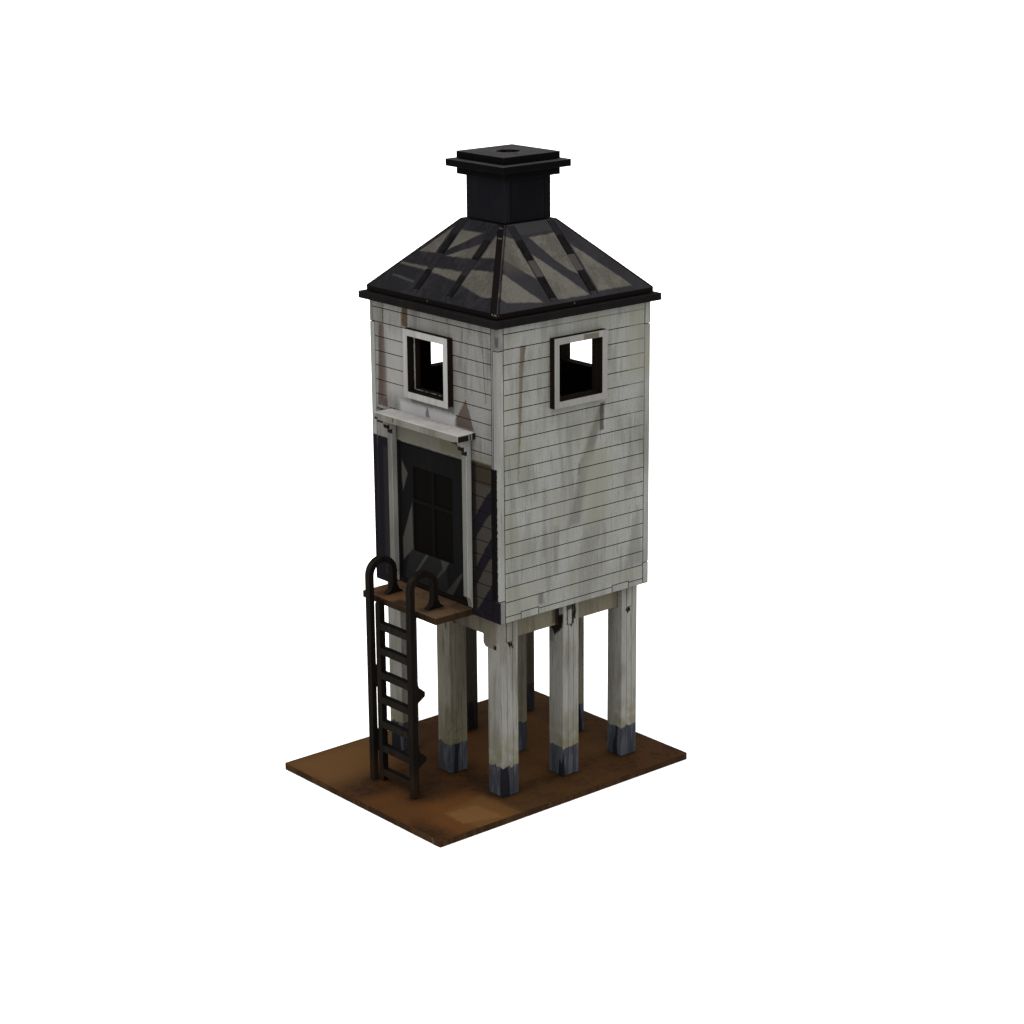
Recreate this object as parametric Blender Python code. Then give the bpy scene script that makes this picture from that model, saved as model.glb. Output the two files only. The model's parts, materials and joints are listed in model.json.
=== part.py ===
"""Tabletop model of a harbour light tower: a boarded cabin on nine legs, cut from thin board.

Metres, +Z up. The origin is the middle of the base plate's underside. The front, with the door
and the ladder, faces -Y.
"""
import math

import bmesh
import bpy
from mathutils import Matrix, Vector

MM = 0.001

# Board and fit
BOARD = 2.0 * MM
GAP = 0.2 * MM

# Base plate
BASE_WIDTH = 73.9 * MM
BASE_DEPTH = 95.1 * MM
BASE_CORNER = 0.5 * MM

# Cabin, whose axis stands behind the middle of the base
CABIN_Y = 10.3 * MM
CABIN_HALF = 28.4 * MM
CABIN_BOTTOM = 55.6 * MM
CABIN_HEIGHT = 84.0 * MM
CORNER_FINGER = 6.4 * MM
TAB_NEAR = 14.2 * MM
TAB_FAR = 20.5 * MM

# Legs and the egg-crate beams in their heads
LEG_SIDE = 6.1 * MM
LEG_PITCH = 23.1 * MM
BEAM_DEPTH = 6.6 * MM
HAUNCH_LENGTH = 3.6 * MM
HAUNCH_DROP = 2.6 * MM
HAUNCH_CHAMFER = 1.0 * MM

# Windows, one in each wall. The front one's frame sits a little left of its hole and low.
WALL_WINDOW = 15.4 * MM
FRAME_WINDOW = 16.0 * MM
WINDOW_FRAME = 19.8 * MM
WINDOW_CENTRE_Z = 124.4 * MM
FRONT_FRAME_SLIP = (-0.5 * MM, -0.3 * MM)

# Door, its posts and canopy. The door stands a little left of the wall's middle.
DOOR_X = -0.8 * MM
DOOR_HALF = 15.4 * MM
DOOR_SILL = 1.2 * MM
DOOR_TOP = 99.8 * MM
PANE_OUTER_HALF = 8.9 * MM
PANE_BOTTOM = 68.5 * MM
PANE_TOP = 93.6 * MM
PANE_SPLIT = 83.5 * MM
MUNTIN = 1.1 * MM
PANE_SINK = 0.4 * MM
POST_INNER = 15.8 * MM
POST_REACH = 2.1 * MM
CORBEL_REACH = 5.7 * MM
CORBEL_NOSE = 0.5 * MM
CORBEL_FOOT = 103.2 * MM
CORBEL_STEP_REACH = 3.5 * MM
CORBEL_STEP_BOTTOM = 104.1 * MM
CORBEL_STEP_TOP = 105.1 * MM
POST_TOE_HEIGHT = 3.4 * MM
POST_TOE_REACH = 0.5 * MM
CANOPY_HALF = 18.8 * MM
CANOPY_REACH = 6.5 * MM
CANOPY_UNDERSIDE = 107.0 * MM

# Landing and ladder
LANDING_HALF = 16.8 * MM
LANDING_REACH = 13.7 * MM
LADDER_HALF = 10.4 * MM
LADDER_TOP = 57.0 * MM
STILE = 2.0 * MM
RUNG_HEIGHT = 2.1 * MM
RUNG_PITCH = 7.5 * MM
RUNG_COUNT = 7
LOWEST_RUNG_TOP = 5.9 * MM
RAIL_REACH = 17.6 * MM
RAIL_WIDTH = 1.8 * MM
HOOP_WIDTH = 10.2 * MM
HOOP_TOP = 69.5 * MM
HOOP_FOOT_HEIGHT = 2.6 * MM
HOOP_FOOT_OUT = 2.0 * MM
HOOP_FOOT_IN = 2.2 * MM
LUG_HEIGHTS = (13.5 * MM, 33.2 * MM)
LUG_UPPER_SLOPE = 4.2 * MM
LUG_LOWER_SLOPE = 1.9 * MM
LUG_TIP = 1.3 * MM
LUG_REACH = 3.0 * MM
# How far down and out a flare bends, as a share of its height and reach
FLARE_BEND_DOWN = 0.6
FLARE_BEND_OUT = 0.3

# Roof, at 45 degrees, and its eaves plate
EAVES_HALF = 30.6 * MM
ROOF_HALF = 28.9 * MM
ROOF_EDGE_HEIGHT = 1.6 * MM
ROOF_TOP_HALF = 9.6 * MM
# Whether a slope runs out to its left and its right hip, seen from outside, or fits behind its neighbour
ROOF_ENDS = {"front": (True, False), "right": (True, True), "rear": (False, True), "left": (False, False)}

# Stack and its stepped cap
STACK_HALF = 8.4 * MM
STACK_TOP = 175.1 * MM
CAP_NARROW_HALF = 10.3 * MM
CAP_WIDE_HALF = 12.5 * MM
VENT_RADIUS = 3.3 * MM

# Straight steps in the round stretches
ARC_STEPS = 10
SMALL_ARC_STEPS = 6
CORNER_STEPS = 4
HOOP_STEPS = 14
VENT_STEPS = 24

# Places that follow from the sizes above
BASE_TOP = BOARD
FLOOR_TOP = CABIN_BOTTOM + BOARD
DOOR_BOTTOM = FLOOR_TOP + DOOR_SILL
CABIN_TOP = CABIN_BOTTOM + CABIN_HEIGHT
CABIN_INNER = CABIN_HALF - BOARD
LEG_TOP = CABIN_BOTTOM - GAP
BEAM_BOTTOM = LEG_TOP - BEAM_DEPTH
EAVES_BOTTOM = CABIN_TOP + GAP
ROOF_BOTTOM = EAVES_BOTTOM + BOARD + GAP
ROOF_EDGE_TOP = ROOF_BOTTOM + ROOF_EDGE_HEIGHT
ROOF_TOP = ROOF_EDGE_TOP + ROOF_HALF - ROOF_TOP_HALF
STACK_BOTTOM = ROOF_TOP + GAP

SIDES = ("front", "right", "rear", "left")


def clear_scene():
    for thing in list(bpy.data.objects):
        bpy.data.objects.remove(thing, do_unlink=True)


def paint(name, colour, roughness, metallic=0.0):
    material = bpy.data.materials.new(name)
    material.use_nodes = True
    shader = material.node_tree.nodes["Principled BSDF"]
    shader.inputs["Base Color"].default_value = (*colour, 1.0)
    shader.inputs["Roughness"].default_value = roughness
    shader.inputs["Metallic"].default_value = metallic
    return material


def add_object(name, mesh, material, matrix=Matrix.Identity(4)):
    thing = bpy.data.objects.new(name, mesh)
    thing.data.materials.append(material)
    thing.matrix_world = matrix
    bpy.context.scene.collection.objects.link(thing)
    return thing


def rectangle(left, right, bottom, top):
    return [(left, bottom), (right, bottom), (right, top), (left, top)]


def square(half):
    return rectangle(-half, half, -half, half)


def arc(centre, radius, start, end, steps=ARC_STEPS):
    """Points on a circle from start to end, in degrees."""
    points = []
    for step in range(steps + 1):
        angle = math.radians(start + (end - start) * step / steps)
        points.append((centre[0] + radius * math.cos(angle), centre[1] + radius * math.sin(angle)))
    return points


def board_mesh(name, outline, holes=(), thickness=BOARD):
    """A flat board in the local XY plane, rising to its thickness along local +Z."""
    shape = bmesh.new()
    edges = []
    for loop in (outline, *holes):
        corners = [shape.verts.new((u, v, 0.0)) for u, v in loop]
        for corner, following in zip(corners, corners[1:] + corners[:1]):
            edges.append(shape.edges.new((corner, following)))
    bmesh.ops.triangle_fill(shape, use_beauty=True, use_dissolve=False, edges=edges)
    grown = bmesh.ops.extrude_face_region(shape, geom=shape.faces[:])
    raised = [item for item in grown["geom"] if isinstance(item, bmesh.types.BMVert)]
    bmesh.ops.translate(shape, verts=raised, vec=(0.0, 0.0, thickness))
    bmesh.ops.recalc_face_normals(shape, faces=shape.faces[:])
    mesh = bpy.data.meshes.new(name)
    shape.to_mesh(mesh)
    shape.free()
    return mesh


def box_mesh(name, low, high):
    """A box between two opposite corners."""
    shape = bmesh.new()
    bmesh.ops.create_cube(shape, size=1.0)
    size = Vector(high) - Vector(low)
    middle = (Vector(high) + Vector(low)) / 2
    bmesh.ops.scale(shape, verts=shape.verts[:], vec=size)
    bmesh.ops.translate(shape, verts=shape.verts[:], vec=middle)
    mesh = bpy.data.meshes.new(name)
    shape.to_mesh(mesh)
    shape.free()
    return mesh


def lying(height, y=0.0):
    """Places a board flat, its underside at a height."""
    return Matrix.Translation((0.0, y, height))


def facing(side, distance, height=0.0):
    """Stands a board up beside the cabin's axis, its back face at a distance, its front outwards."""
    turn = Matrix.Rotation(math.radians(90.0 * SIDES.index(side)), 4, "Z")
    stand = Matrix.Rotation(math.radians(90.0), 4, "X")
    return (Matrix.Translation((0.0, CABIN_Y, height)) @ turn
            @ Matrix.Translation((0.0, -distance, 0.0)) @ stand)


def profile(x):
    """Stands a board across X, its local X reaching out in front of the front wall, its local Y up."""
    across = Matrix(((0.0, 0.0, 1.0, 0.0), (-1.0, 0.0, 0.0, 0.0), (0.0, 1.0, 0.0, 0.0), (0.0, 0.0, 0.0, 1.0)))
    return Matrix.Translation((x, CABIN_Y - CABIN_HALF, 0.0)) @ across


def cut(target, cutter):
    """Leaves the cutter in the file as a wire guide and subtracts it."""
    cutter.hide_render = True
    cutter.display_type = "WIRE"
    boolean = target.modifiers.new(cutter.name, "BOOLEAN")
    boolean.operation = "DIFFERENCE"
    boolean.solver = "EXACT"
    boolean.object = cutter


def base_plate(material):
    half_width = BASE_WIDTH / 2
    half_depth = BASE_DEPTH / 2
    outline = []
    for index, (side_x, side_y) in enumerate(((1, 1), (-1, 1), (-1, -1), (1, -1))):
        centre = (side_x * (half_width - BASE_CORNER), side_y * (half_depth - BASE_CORNER))
        outline += arc(centre, BASE_CORNER, 90.0 * index, 90.0 * index + 90.0, CORNER_STEPS)
    add_object("base_plate", board_mesh("base_plate", outline), material)


def legs(material):
    """Nine posts, each slotted both ways at its head for the beams."""
    half = LEG_SIDE / 2
    slot = BOARD / 2 + GAP
    slot_floor = BEAM_BOTTOM - GAP
    shape = box_mesh("leg", (-half, -half, BASE_TOP + GAP), (half, half, LEG_TOP))
    slot_x = box_mesh("leg_slot_x", (-LEG_SIDE, -slot, slot_floor), (LEG_SIDE, slot, CABIN_BOTTOM + BOARD))
    slot_y = box_mesh("leg_slot_y", (-slot, -LEG_SIDE, slot_floor), (slot, LEG_SIDE, CABIN_BOTTOM + BOARD))
    shape.materials.append(material)
    for row, y in (("front", -LEG_PITCH), ("middle", 0.0), ("rear", LEG_PITCH)):
        for column, x in (("left", -LEG_PITCH), ("centre", 0.0), ("right", LEG_PITCH)):
            place = Matrix.Translation((x, CABIN_Y + y, 0.0))
            name = f"leg_{row}_{column}"
            leg = bpy.data.objects.new(name, shape)
            leg.matrix_world = place
            bpy.context.scene.collection.objects.link(leg)
            cut(leg, add_object(f"{name}_slot_x", slot_x, material, place))
            cut(leg, add_object(f"{name}_slot_y", slot_y, material, place))


def half_laps(edge, lap):
    """The notches along one edge of a beam, from left to right, one at each of the three crossings."""
    slot = BOARD / 2 + GAP
    notches = []
    for crossing in (-LEG_PITCH, 0.0, LEG_PITCH):
        notches += [(crossing - slot, edge), (crossing - slot, lap), (crossing + slot, lap), (crossing + slot, edge)]
    return notches


def across_beam_outline():
    """A beam seen from the front, notched from above, with a haunch inside each outer leg."""
    end = LEG_PITCH + LEG_SIDE / 2
    haunch_end = LEG_PITCH - LEG_SIDE / 2 - GAP
    haunch_start = haunch_end - HAUNCH_LENGTH
    right_haunch = [
        (haunch_start, 0.0), (haunch_start, HAUNCH_CHAMFER - HAUNCH_DROP),
        (haunch_start + HAUNCH_CHAMFER, -HAUNCH_DROP), (haunch_end, -HAUNCH_DROP), (haunch_end, 0.0),
    ]
    left_haunch = [(-u, v) for u, v in reversed(right_haunch)]
    notches = half_laps(BEAM_DEPTH, BEAM_DEPTH / 2 - GAP / 2)
    return [(-end, 0.0), *left_haunch, *right_haunch, (end, 0.0), (end, BEAM_DEPTH), *reversed(notches),
            (-end, BEAM_DEPTH)]


def along_beam_outline():
    """A beam seen from the right, notched from below."""
    end = LEG_PITCH + LEG_SIDE / 2
    notches = half_laps(0.0, BEAM_DEPTH / 2 + GAP / 2)
    return [(-end, 0.0), *notches, (end, 0.0), (end, BEAM_DEPTH), (-end, BEAM_DEPTH)]


def beams(material):
    """Three beams across and three front to back, lapped together over the legs."""
    across = board_mesh("beam_across", across_beam_outline())
    along = board_mesh("beam_along", along_beam_outline())
    for name, y in (("front", -LEG_PITCH), ("middle", 0.0), ("rear", LEG_PITCH)):
        place = facing("front", -y - BOARD / 2, BEAM_BOTTOM)
        add_object(f"beam_across_{name}", across.copy(), material, place)
    for name, x in (("left", -LEG_PITCH), ("centre", 0.0), ("right", LEG_PITCH)):
        place = facing("right", x - BOARD / 2, BEAM_BOTTOM)
        add_object(f"beam_along_{name}", along.copy(), material, place)


def cabin_floor(material):
    """The floor board, with two tabs on each side that reach through the walls."""
    edge = CABIN_INNER - GAP
    near, far = TAB_NEAR, TAB_FAR
    side = [(-edge, -edge)]
    for left, right in ((-far, -near), (near, far)):
        side += [(left, -edge), (left, -CABIN_HALF), (right, -CABIN_HALF), (right, -edge)]
    outline = []
    for quarter in range(4):
        turn = Matrix.Rotation(math.radians(90.0 * quarter), 2)
        outline += [tuple(turn @ Vector(point)) for point in side]
    add_object("cabin_floor", board_mesh("cabin_floor", outline), material, lying(CABIN_BOTTOM, CABIN_Y))


def wall_outline(fingers_at_ends):
    """A wall seen from outside, with its corner fingers and the two notches for the floor's tabs."""
    wide = CABIN_HALF
    narrow = CABIN_INNER - GAP
    low = CORNER_FINGER if fingers_at_ends else CORNER_FINGER + GAP
    high = CABIN_HEIGHT - low
    ends, middle = (wide, narrow) if fingers_at_ends else (narrow, wide)
    notch = BOARD + GAP
    bottom = [(-ends, 0.0)]
    for left, right in ((-TAB_FAR - GAP, -TAB_NEAR + GAP), (TAB_NEAR - GAP, TAB_FAR + GAP)):
        bottom += [(left, 0.0), (left, notch), (right, notch), (right, 0.0)]
    right_edge = [(ends, 0.0), (ends, low), (middle, low), (middle, high), (ends, high), (ends, CABIN_HEIGHT)]
    left_edge = [(-u, v) for u, v in reversed(right_edge[1:])]
    return bottom + right_edge + left_edge


def walls(material):
    clear = WALL_WINDOW / 2
    window_z = WINDOW_CENTRE_Z - CABIN_BOTTOM
    window = rectangle(-clear, clear, window_z - clear, window_z + clear)
    door_edge = DOOR_HALF + GAP
    doorway = rectangle(DOOR_X - door_edge, DOOR_X + door_edge, DOOR_BOTTOM - CABIN_BOTTOM, DOOR_TOP - CABIN_BOTTOM)
    shapes = {
        "front": board_mesh("wall_front", wall_outline(True), [window, doorway]),
        "rear": board_mesh("wall_rear", wall_outline(True), [window]),
        "left": board_mesh("wall_left", wall_outline(False), [window]),
        "right": board_mesh("wall_right", wall_outline(False), [window]),
    }
    for side, shape in shapes.items():
        add_object(f"wall_{side}", shape, material, facing(side, CABIN_INNER, CABIN_BOTTOM))


def window_frames(material):
    shape = board_mesh("window_frame", square(WINDOW_FRAME / 2), [square(FRAME_WINDOW / 2)])
    for side in SIDES:
        across, up = FRONT_FRAME_SLIP if side == "front" else (0.0, 0.0)
        place = facing(side, CABIN_HALF + GAP, WINDOW_CENTRE_Z) @ Matrix.Translation((across, up, 0.0))
        add_object(f"window_frame_{side}", shape.copy(), material, place)


def door(material):
    """The leaf fills the doorway, with two small panes over two tall ones sunk in its face."""
    outline = rectangle(DOOR_X - DOOR_HALF, DOOR_X + DOOR_HALF, DOOR_BOTTOM + GAP, DOOR_TOP - GAP)
    leaf = add_object("door_leaf", board_mesh("door_leaf", outline), material, facing("front", CABIN_INNER))
    rows = ((PANE_BOTTOM, PANE_SPLIT - MUNTIN / 2, "lower"), (PANE_SPLIT + MUNTIN / 2, PANE_TOP, "upper"))
    columns = ((-PANE_OUTER_HALF, -MUNTIN / 2, "left"), (MUNTIN / 2, PANE_OUTER_HALF, "right"))
    face = CABIN_Y - CABIN_HALF
    for low, high, row in rows:
        for left, right, column in columns:
            name = f"pane_cutter_{row}_{column}"
            pane = box_mesh(name, (DOOR_X + left, face - PANE_SINK, low), (DOOR_X + right, face + PANE_SINK, high))
            cut(leaf, add_object(name, pane, material))


def door_posts(material):
    """Two upright boards at the doorway's sides, each stepping out into a corbel under the canopy."""
    top = CANOPY_UNDERSIDE - GAP
    foot = FLOOR_TOP + GAP
    sweep = CORBEL_REACH - CORBEL_STEP_REACH
    rise = top - CORBEL_NOSE - CORBEL_STEP_TOP
    outline = [(GAP, foot)]
    toe = POST_REACH - POST_TOE_REACH
    for u, v in arc((0.0, 0.0), 1.0, 0.0, 90.0, SMALL_ARC_STEPS):
        outline.append((POST_TOE_REACH + toe * (1.0 - u), foot + POST_TOE_HEIGHT * v))
    outline += [(POST_REACH, CORBEL_FOOT), (CORBEL_STEP_REACH, CORBEL_STEP_BOTTOM)]
    for u, v in arc((0.0, 0.0), 1.0, 180.0, 90.0, SMALL_ARC_STEPS):
        outline.append((CORBEL_STEP_REACH + sweep * (1.0 + u), CORBEL_STEP_TOP + rise * v))
    outline += [(CORBEL_REACH, top), (GAP, top)]
    shape = board_mesh("door_post", outline)
    add_object("door_post_left", shape, material, profile(DOOR_X - POST_INNER - BOARD))
    add_object("door_post_right", shape.copy(), material, profile(DOOR_X + POST_INNER))


def door_canopy(material):
    back = CABIN_Y - CABIN_HALF - GAP
    outline = rectangle(-CANOPY_HALF, CANOPY_HALF, back - CANOPY_REACH + GAP, back)
    add_object("door_canopy", board_mesh("door_canopy", outline), material, lying(CANOPY_UNDERSIDE))


def landing(material):
    back = CABIN_Y - CABIN_HALF - GAP
    outline = rectangle(-LANDING_HALF, LANDING_HALF, back - LANDING_REACH + GAP, back)
    add_object("landing", board_mesh("landing", outline), material, lying(CABIN_BOTTOM))


def ladder(material):
    """One board with its gaps cut out and its stiles' heads round, in front of the landing's edge."""
    half = LADDER_HALF - BOARD - GAP
    inner = half - STILE
    round_start = LADDER_TOP - STILE / 2
    bottom = BASE_TOP + GAP
    highest_rung_top = LOWEST_RUNG_TOP + (RUNG_COUNT - 1) * RUNG_PITCH
    lowest_rung_bottom = LOWEST_RUNG_TOP - RUNG_HEIGHT
    right_head = arc((half - STILE / 2, round_start), STILE / 2, 0.0, 180.0, SMALL_ARC_STEPS)
    left_head = arc((STILE / 2 - half, round_start), STILE / 2, 0.0, 180.0, SMALL_ARC_STEPS)
    outline = [
        (-half, bottom), (-inner, bottom), (-inner, lowest_rung_bottom), (inner, lowest_rung_bottom),
        (inner, bottom), (half, bottom), *right_head, (inner, highest_rung_top), (-inner, highest_rung_top),
        *left_head,
    ]
    gaps = []
    for rung in range(RUNG_COUNT - 1):
        floor = LOWEST_RUNG_TOP + rung * RUNG_PITCH
        gaps.append(rectangle(-inner, inner, floor, floor + RUNG_PITCH - RUNG_HEIGHT))
    reach = CABIN_HALF + LANDING_REACH + GAP
    add_object("ladder", board_mesh("ladder", outline, gaps), material, facing("front", reach))


def ladder_rails(material):
    """Two rails that rise past the landing, arch over as hoops and come down on flared feet."""
    front = RAIL_REACH
    inner = front - RAIL_WIDTH
    radius = HOOP_WIDTH / 2
    centre = (front - radius, HOOP_TOP - radius)
    back = front - HOOP_WIDTH
    post = back + RAIL_WIDTH
    foot = FLOOR_TOP + GAP
    outline = [(front, BASE_TOP + GAP)]
    outline += arc(centre, radius, 0.0, 180.0, HOOP_STEPS)
    bend = foot + HOOP_FOOT_HEIGHT * (1.0 - FLARE_BEND_DOWN)
    outline += [(back, foot + HOOP_FOOT_HEIGHT), (back - HOOP_FOOT_IN * FLARE_BEND_OUT, bend)]
    outline += [(back - HOOP_FOOT_IN, foot), (post + HOOP_FOOT_OUT, foot)]
    outline += [(post + HOOP_FOOT_OUT * FLARE_BEND_OUT, bend), (post, foot + HOOP_FOOT_HEIGHT)]
    outline += arc(centre, radius - RAIL_WIDTH, 180.0, 0.0, HOOP_STEPS)
    for middle in reversed(LUG_HEIGHTS):
        tip_top = middle + LUG_TIP / 2
        tip_bottom = middle - LUG_TIP / 2
        bend = (inner - LUG_REACH * FLARE_BEND_OUT, tip_top + LUG_UPPER_SLOPE * (1.0 - FLARE_BEND_DOWN))
        outline += [(inner, tip_top + LUG_UPPER_SLOPE), bend, (inner - LUG_REACH, tip_top)]
        outline += [(inner - LUG_REACH, tip_bottom), (inner, tip_bottom - LUG_LOWER_SLOPE)]
    outline.append((inner, BASE_TOP + GAP))
    shape = board_mesh("ladder_rail", outline)
    add_object("ladder_rail_left", shape, material, profile(-LADDER_HALF))
    add_object("ladder_rail_right", shape.copy(), material, profile(LADDER_HALF - BOARD))


def eaves_plate(material):
    add_object("eaves_plate", board_mesh("eaves_plate", square(EAVES_HALF)), material,
               lying(EAVES_BOTTOM, CABIN_Y))


def roof_panel_mesh(name, ends):
    """One slope in the front place. Each end runs out to the hip or fits behind its neighbour's board."""
    skin = BOARD * math.sqrt(2.0)

    def slope(z):
        return ROOF_HALF - (z - ROOF_EDGE_TOP)

    section = [
        (ROOF_HALF, ROOF_BOTTOM), (ROOF_HALF, ROOF_EDGE_TOP), (ROOF_TOP_HALF, ROOF_TOP),
        (ROOF_TOP_HALF - skin, ROOF_TOP), (ROOF_HALF - skin, ROOF_EDGE_TOP), (slope(ROOF_BOTTOM) - skin, ROOF_BOTTOM),
    ]
    shape = bmesh.new()
    rings = []
    for side, runs_out in zip((-1, 1), ends):
        ring = []
        for out, z in section:
            reach = min(slope(z), ROOF_HALF) if runs_out else slope(z) - skin - GAP
            ring.append(shape.verts.new((side * reach, -out, z)))
        rings.append(ring)
    left, right = rings
    count = len(section)
    for index in range(count):
        following = (index + 1) % count
        shape.faces.new((left[index], right[index], right[following], left[following]))
    for ring in rings:
        shape.faces.new((ring[1], ring[2], ring[3], ring[4]))
        shape.faces.new((ring[0], ring[1], ring[4], ring[5]))
    bmesh.ops.recalc_face_normals(shape, faces=shape.faces[:])
    mesh = bpy.data.meshes.new(name)
    shape.to_mesh(mesh)
    shape.free()
    return mesh


def roof(material):
    for index, side in enumerate(SIDES):
        turn = Matrix.Rotation(math.radians(90.0 * index), 4, "Z")
        place = Matrix.Translation((0.0, CABIN_Y, 0.0)) @ turn
        add_object(f"roof_{side}", roof_panel_mesh(f"roof_{side}", ROOF_ENDS[side]), material, place)


def stack(material):
    height = STACK_TOP - STACK_BOTTOM
    for side in SIDES:
        half = STACK_HALF if side in ("front", "rear") else STACK_HALF - BOARD - GAP
        shape = board_mesh(f"stack_{side}", rectangle(-half, half, 0.0, height))
        add_object(f"stack_{side}", shape, material, facing(side, STACK_HALF - BOARD, STACK_BOTTOM))


def cap(material):
    """Three square plates with a round vent through them."""
    vent = arc((0.0, 0.0), VENT_RADIUS, 0.0, 360.0 - 360.0 / VENT_STEPS, VENT_STEPS - 1)
    layers = (("lower", CAP_NARROW_HALF), ("middle", CAP_WIDE_HALF), ("upper", CAP_NARROW_HALF))
    for index, (name, half) in enumerate(layers):
        height = STACK_TOP + GAP + index * (BOARD + GAP)
        add_object(f"cap_{name}", board_mesh(f"cap_{name}", square(half), [vent]), material,
                   lying(height, CABIN_Y))


clear_scene()
base_plate(paint("base_paint", (0.28, 0.20, 0.13), 0.85))
legs(paint("leg_paint", (0.50, 0.49, 0.46), 0.8))
beams(paint("beam_paint", (0.38, 0.36, 0.30), 0.8))
cabin_floor(paint("floor_board", (0.34, 0.30, 0.24), 0.85))
walls(paint("wall_paint", (0.54, 0.53, 0.51), 0.75))
window_frames(paint("frame_paint", (0.60, 0.59, 0.57), 0.7))
door(paint("door_paint", (0.10, 0.10, 0.09), 0.7))
door_posts(paint("post_paint", (0.44, 0.44, 0.43), 0.7))
door_canopy(paint("canopy_paint", (0.55, 0.54, 0.52), 0.75))
landing(paint("landing_paint", (0.27, 0.21, 0.16), 0.85))
ladder(paint("ladder_paint", (0.14, 0.13, 0.12), 0.7))
ladder_rails(paint("rail_paint", (0.11, 0.10, 0.08), 0.7))
eaves_plate(paint("eaves_paint", (0.07, 0.07, 0.07), 0.6))
roof(paint("roof_paint", (0.28, 0.27, 0.26), 0.75))
stack(paint("stack_paint", (0.07, 0.07, 0.08), 0.55))
cap(paint("cap_paint", (0.16, 0.15, 0.16), 0.55))
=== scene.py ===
import json
import math

import bpy
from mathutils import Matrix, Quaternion, Vector


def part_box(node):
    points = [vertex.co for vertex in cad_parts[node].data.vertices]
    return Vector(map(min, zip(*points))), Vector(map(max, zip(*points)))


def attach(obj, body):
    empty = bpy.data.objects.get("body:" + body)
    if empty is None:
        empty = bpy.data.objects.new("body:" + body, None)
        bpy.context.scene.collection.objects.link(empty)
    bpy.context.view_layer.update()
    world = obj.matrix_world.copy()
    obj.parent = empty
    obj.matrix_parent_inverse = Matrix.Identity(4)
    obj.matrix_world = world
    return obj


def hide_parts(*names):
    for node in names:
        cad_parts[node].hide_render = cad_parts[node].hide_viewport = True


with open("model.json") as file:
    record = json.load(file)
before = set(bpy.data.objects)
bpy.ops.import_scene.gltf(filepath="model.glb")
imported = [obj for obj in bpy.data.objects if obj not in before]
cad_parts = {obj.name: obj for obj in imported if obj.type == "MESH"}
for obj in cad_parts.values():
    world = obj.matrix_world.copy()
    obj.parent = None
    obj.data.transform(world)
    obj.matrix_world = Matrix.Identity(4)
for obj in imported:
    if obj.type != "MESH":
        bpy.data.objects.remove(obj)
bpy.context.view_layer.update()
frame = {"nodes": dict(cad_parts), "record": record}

# Sizes in metres, and angles
MM = 0.001
MERGE = 0.00001
SIDE_TURN = {"front": 0.0, "right": math.pi / 2, "rear": math.pi, "left": 3 * math.pi / 2}
SLOPE = math.radians(45.0)
SHARP = math.radians(30.0)
FLAT = math.radians(1.0)

# Cabin and legs, read from the frame
EAVES_LOW, EAVES_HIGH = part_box("eaves_plate")
CABIN_MIDDLE = Vector(((EAVES_LOW.x + EAVES_HIGH.x) / 2, (EAVES_LOW.y + EAVES_HIGH.y) / 2, 0.0))
CABIN_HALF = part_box("wall_right")[1].x
WALL_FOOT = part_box("wall_right")[0].z
ROOF_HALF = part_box("roof_right")[1].x
ROOF_EDGE_HEIGHT = 1.6 * MM
ROOF_EDGE_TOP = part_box("roof_right")[0].z + ROOF_EDGE_HEIGHT
LEG_LOW, LEG_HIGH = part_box("leg_front_right")
LEG_SIDE = LEG_HIGH.x - LEG_LOW.x
LEG_PITCH = (LEG_LOW.x + LEG_HIGH.x) / 2
LEG_OUTER = LEG_HIGH.x

# Engraved boards
BOARD_PITCH = 4.225 * MM
LOWEST_STRIP = 1.7 * MM
FIRST_BOARD = WALL_FOOT + LOWEST_STRIP
ENGRAVING_WIDTH = 0.26 * MM
ENGRAVING_DEPTH = 0.16 * MM
CUTTER_PROUD = 0.5 * MM
ENGRAVING_RANGE = (CABIN_HALF - ENGRAVING_DEPTH, CABIN_HALF + CUTTER_PROUD)
EDGE_ROUNDING = 0.1 * MM

# Seams between the three boards of a leg, and the plate at an outer leg's head
SEAM_DEPTH = 0.16 * MM
SEAM_WIDTH = 0.14 * MM
PLATE_INNER = 18.3 * MM
PLATE_OUTER = 24.0 * MM
PLATE_FOOT = 46.3 * MM
PLATE_PROUD = 0.1 * MM
PLATE_CHAMFER = 1.0 * MM

# Ribs of the roof. Ranges run from a higher to a lower place
RIB_OFFSET = 7.4 * MM
RIB_SHIFT = -0.35 * MM
RIB_MIDDLES = {"left": RIB_SHIFT - RIB_OFFSET, "right": RIB_SHIFT + RIB_OFFSET}
RIB_WIDTH = 2.4 * MM
RIB_PROUD = 0.22 * MM
RIB_SUNK = 0.5 * MM
RIB_LINE_WIDTH = 0.34 * MM
RIB_LINE_RANGE = (162.7, 144.2)
RIB_TABS = ((158.8, 154.2), (150.0, 145.1))
RIB_BATTENS = ((162.7, 158.9), (154.1, 150.1))


# Modelling

def select_only(*pieces):
    bpy.ops.object.select_all(action="DESELECT")
    for piece in pieces:
        piece.select_set(True)
    bpy.context.view_layer.objects.active = pieces[0]


def side_axes(side):
    """The direction along a side, left to right as seen from outside, and the direction out of it."""
    turn = SIDE_TURN[side]
    along = Vector((math.cos(turn), math.sin(turn), 0.0))
    return along, Vector((math.sin(turn), -math.cos(turn), 0.0))


def add_block(centre, size, rotation=(0.0, 0.0, 0.0)):
    """A plain block, to be worked on."""
    bpy.ops.object.select_all(action="DESELECT")
    bpy.ops.mesh.primitive_cube_add(size=1.0, location=centre, rotation=rotation, scale=size)
    bpy.ops.object.transform_apply(location=True, rotation=True, scale=True)
    return bpy.context.active_object


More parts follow.
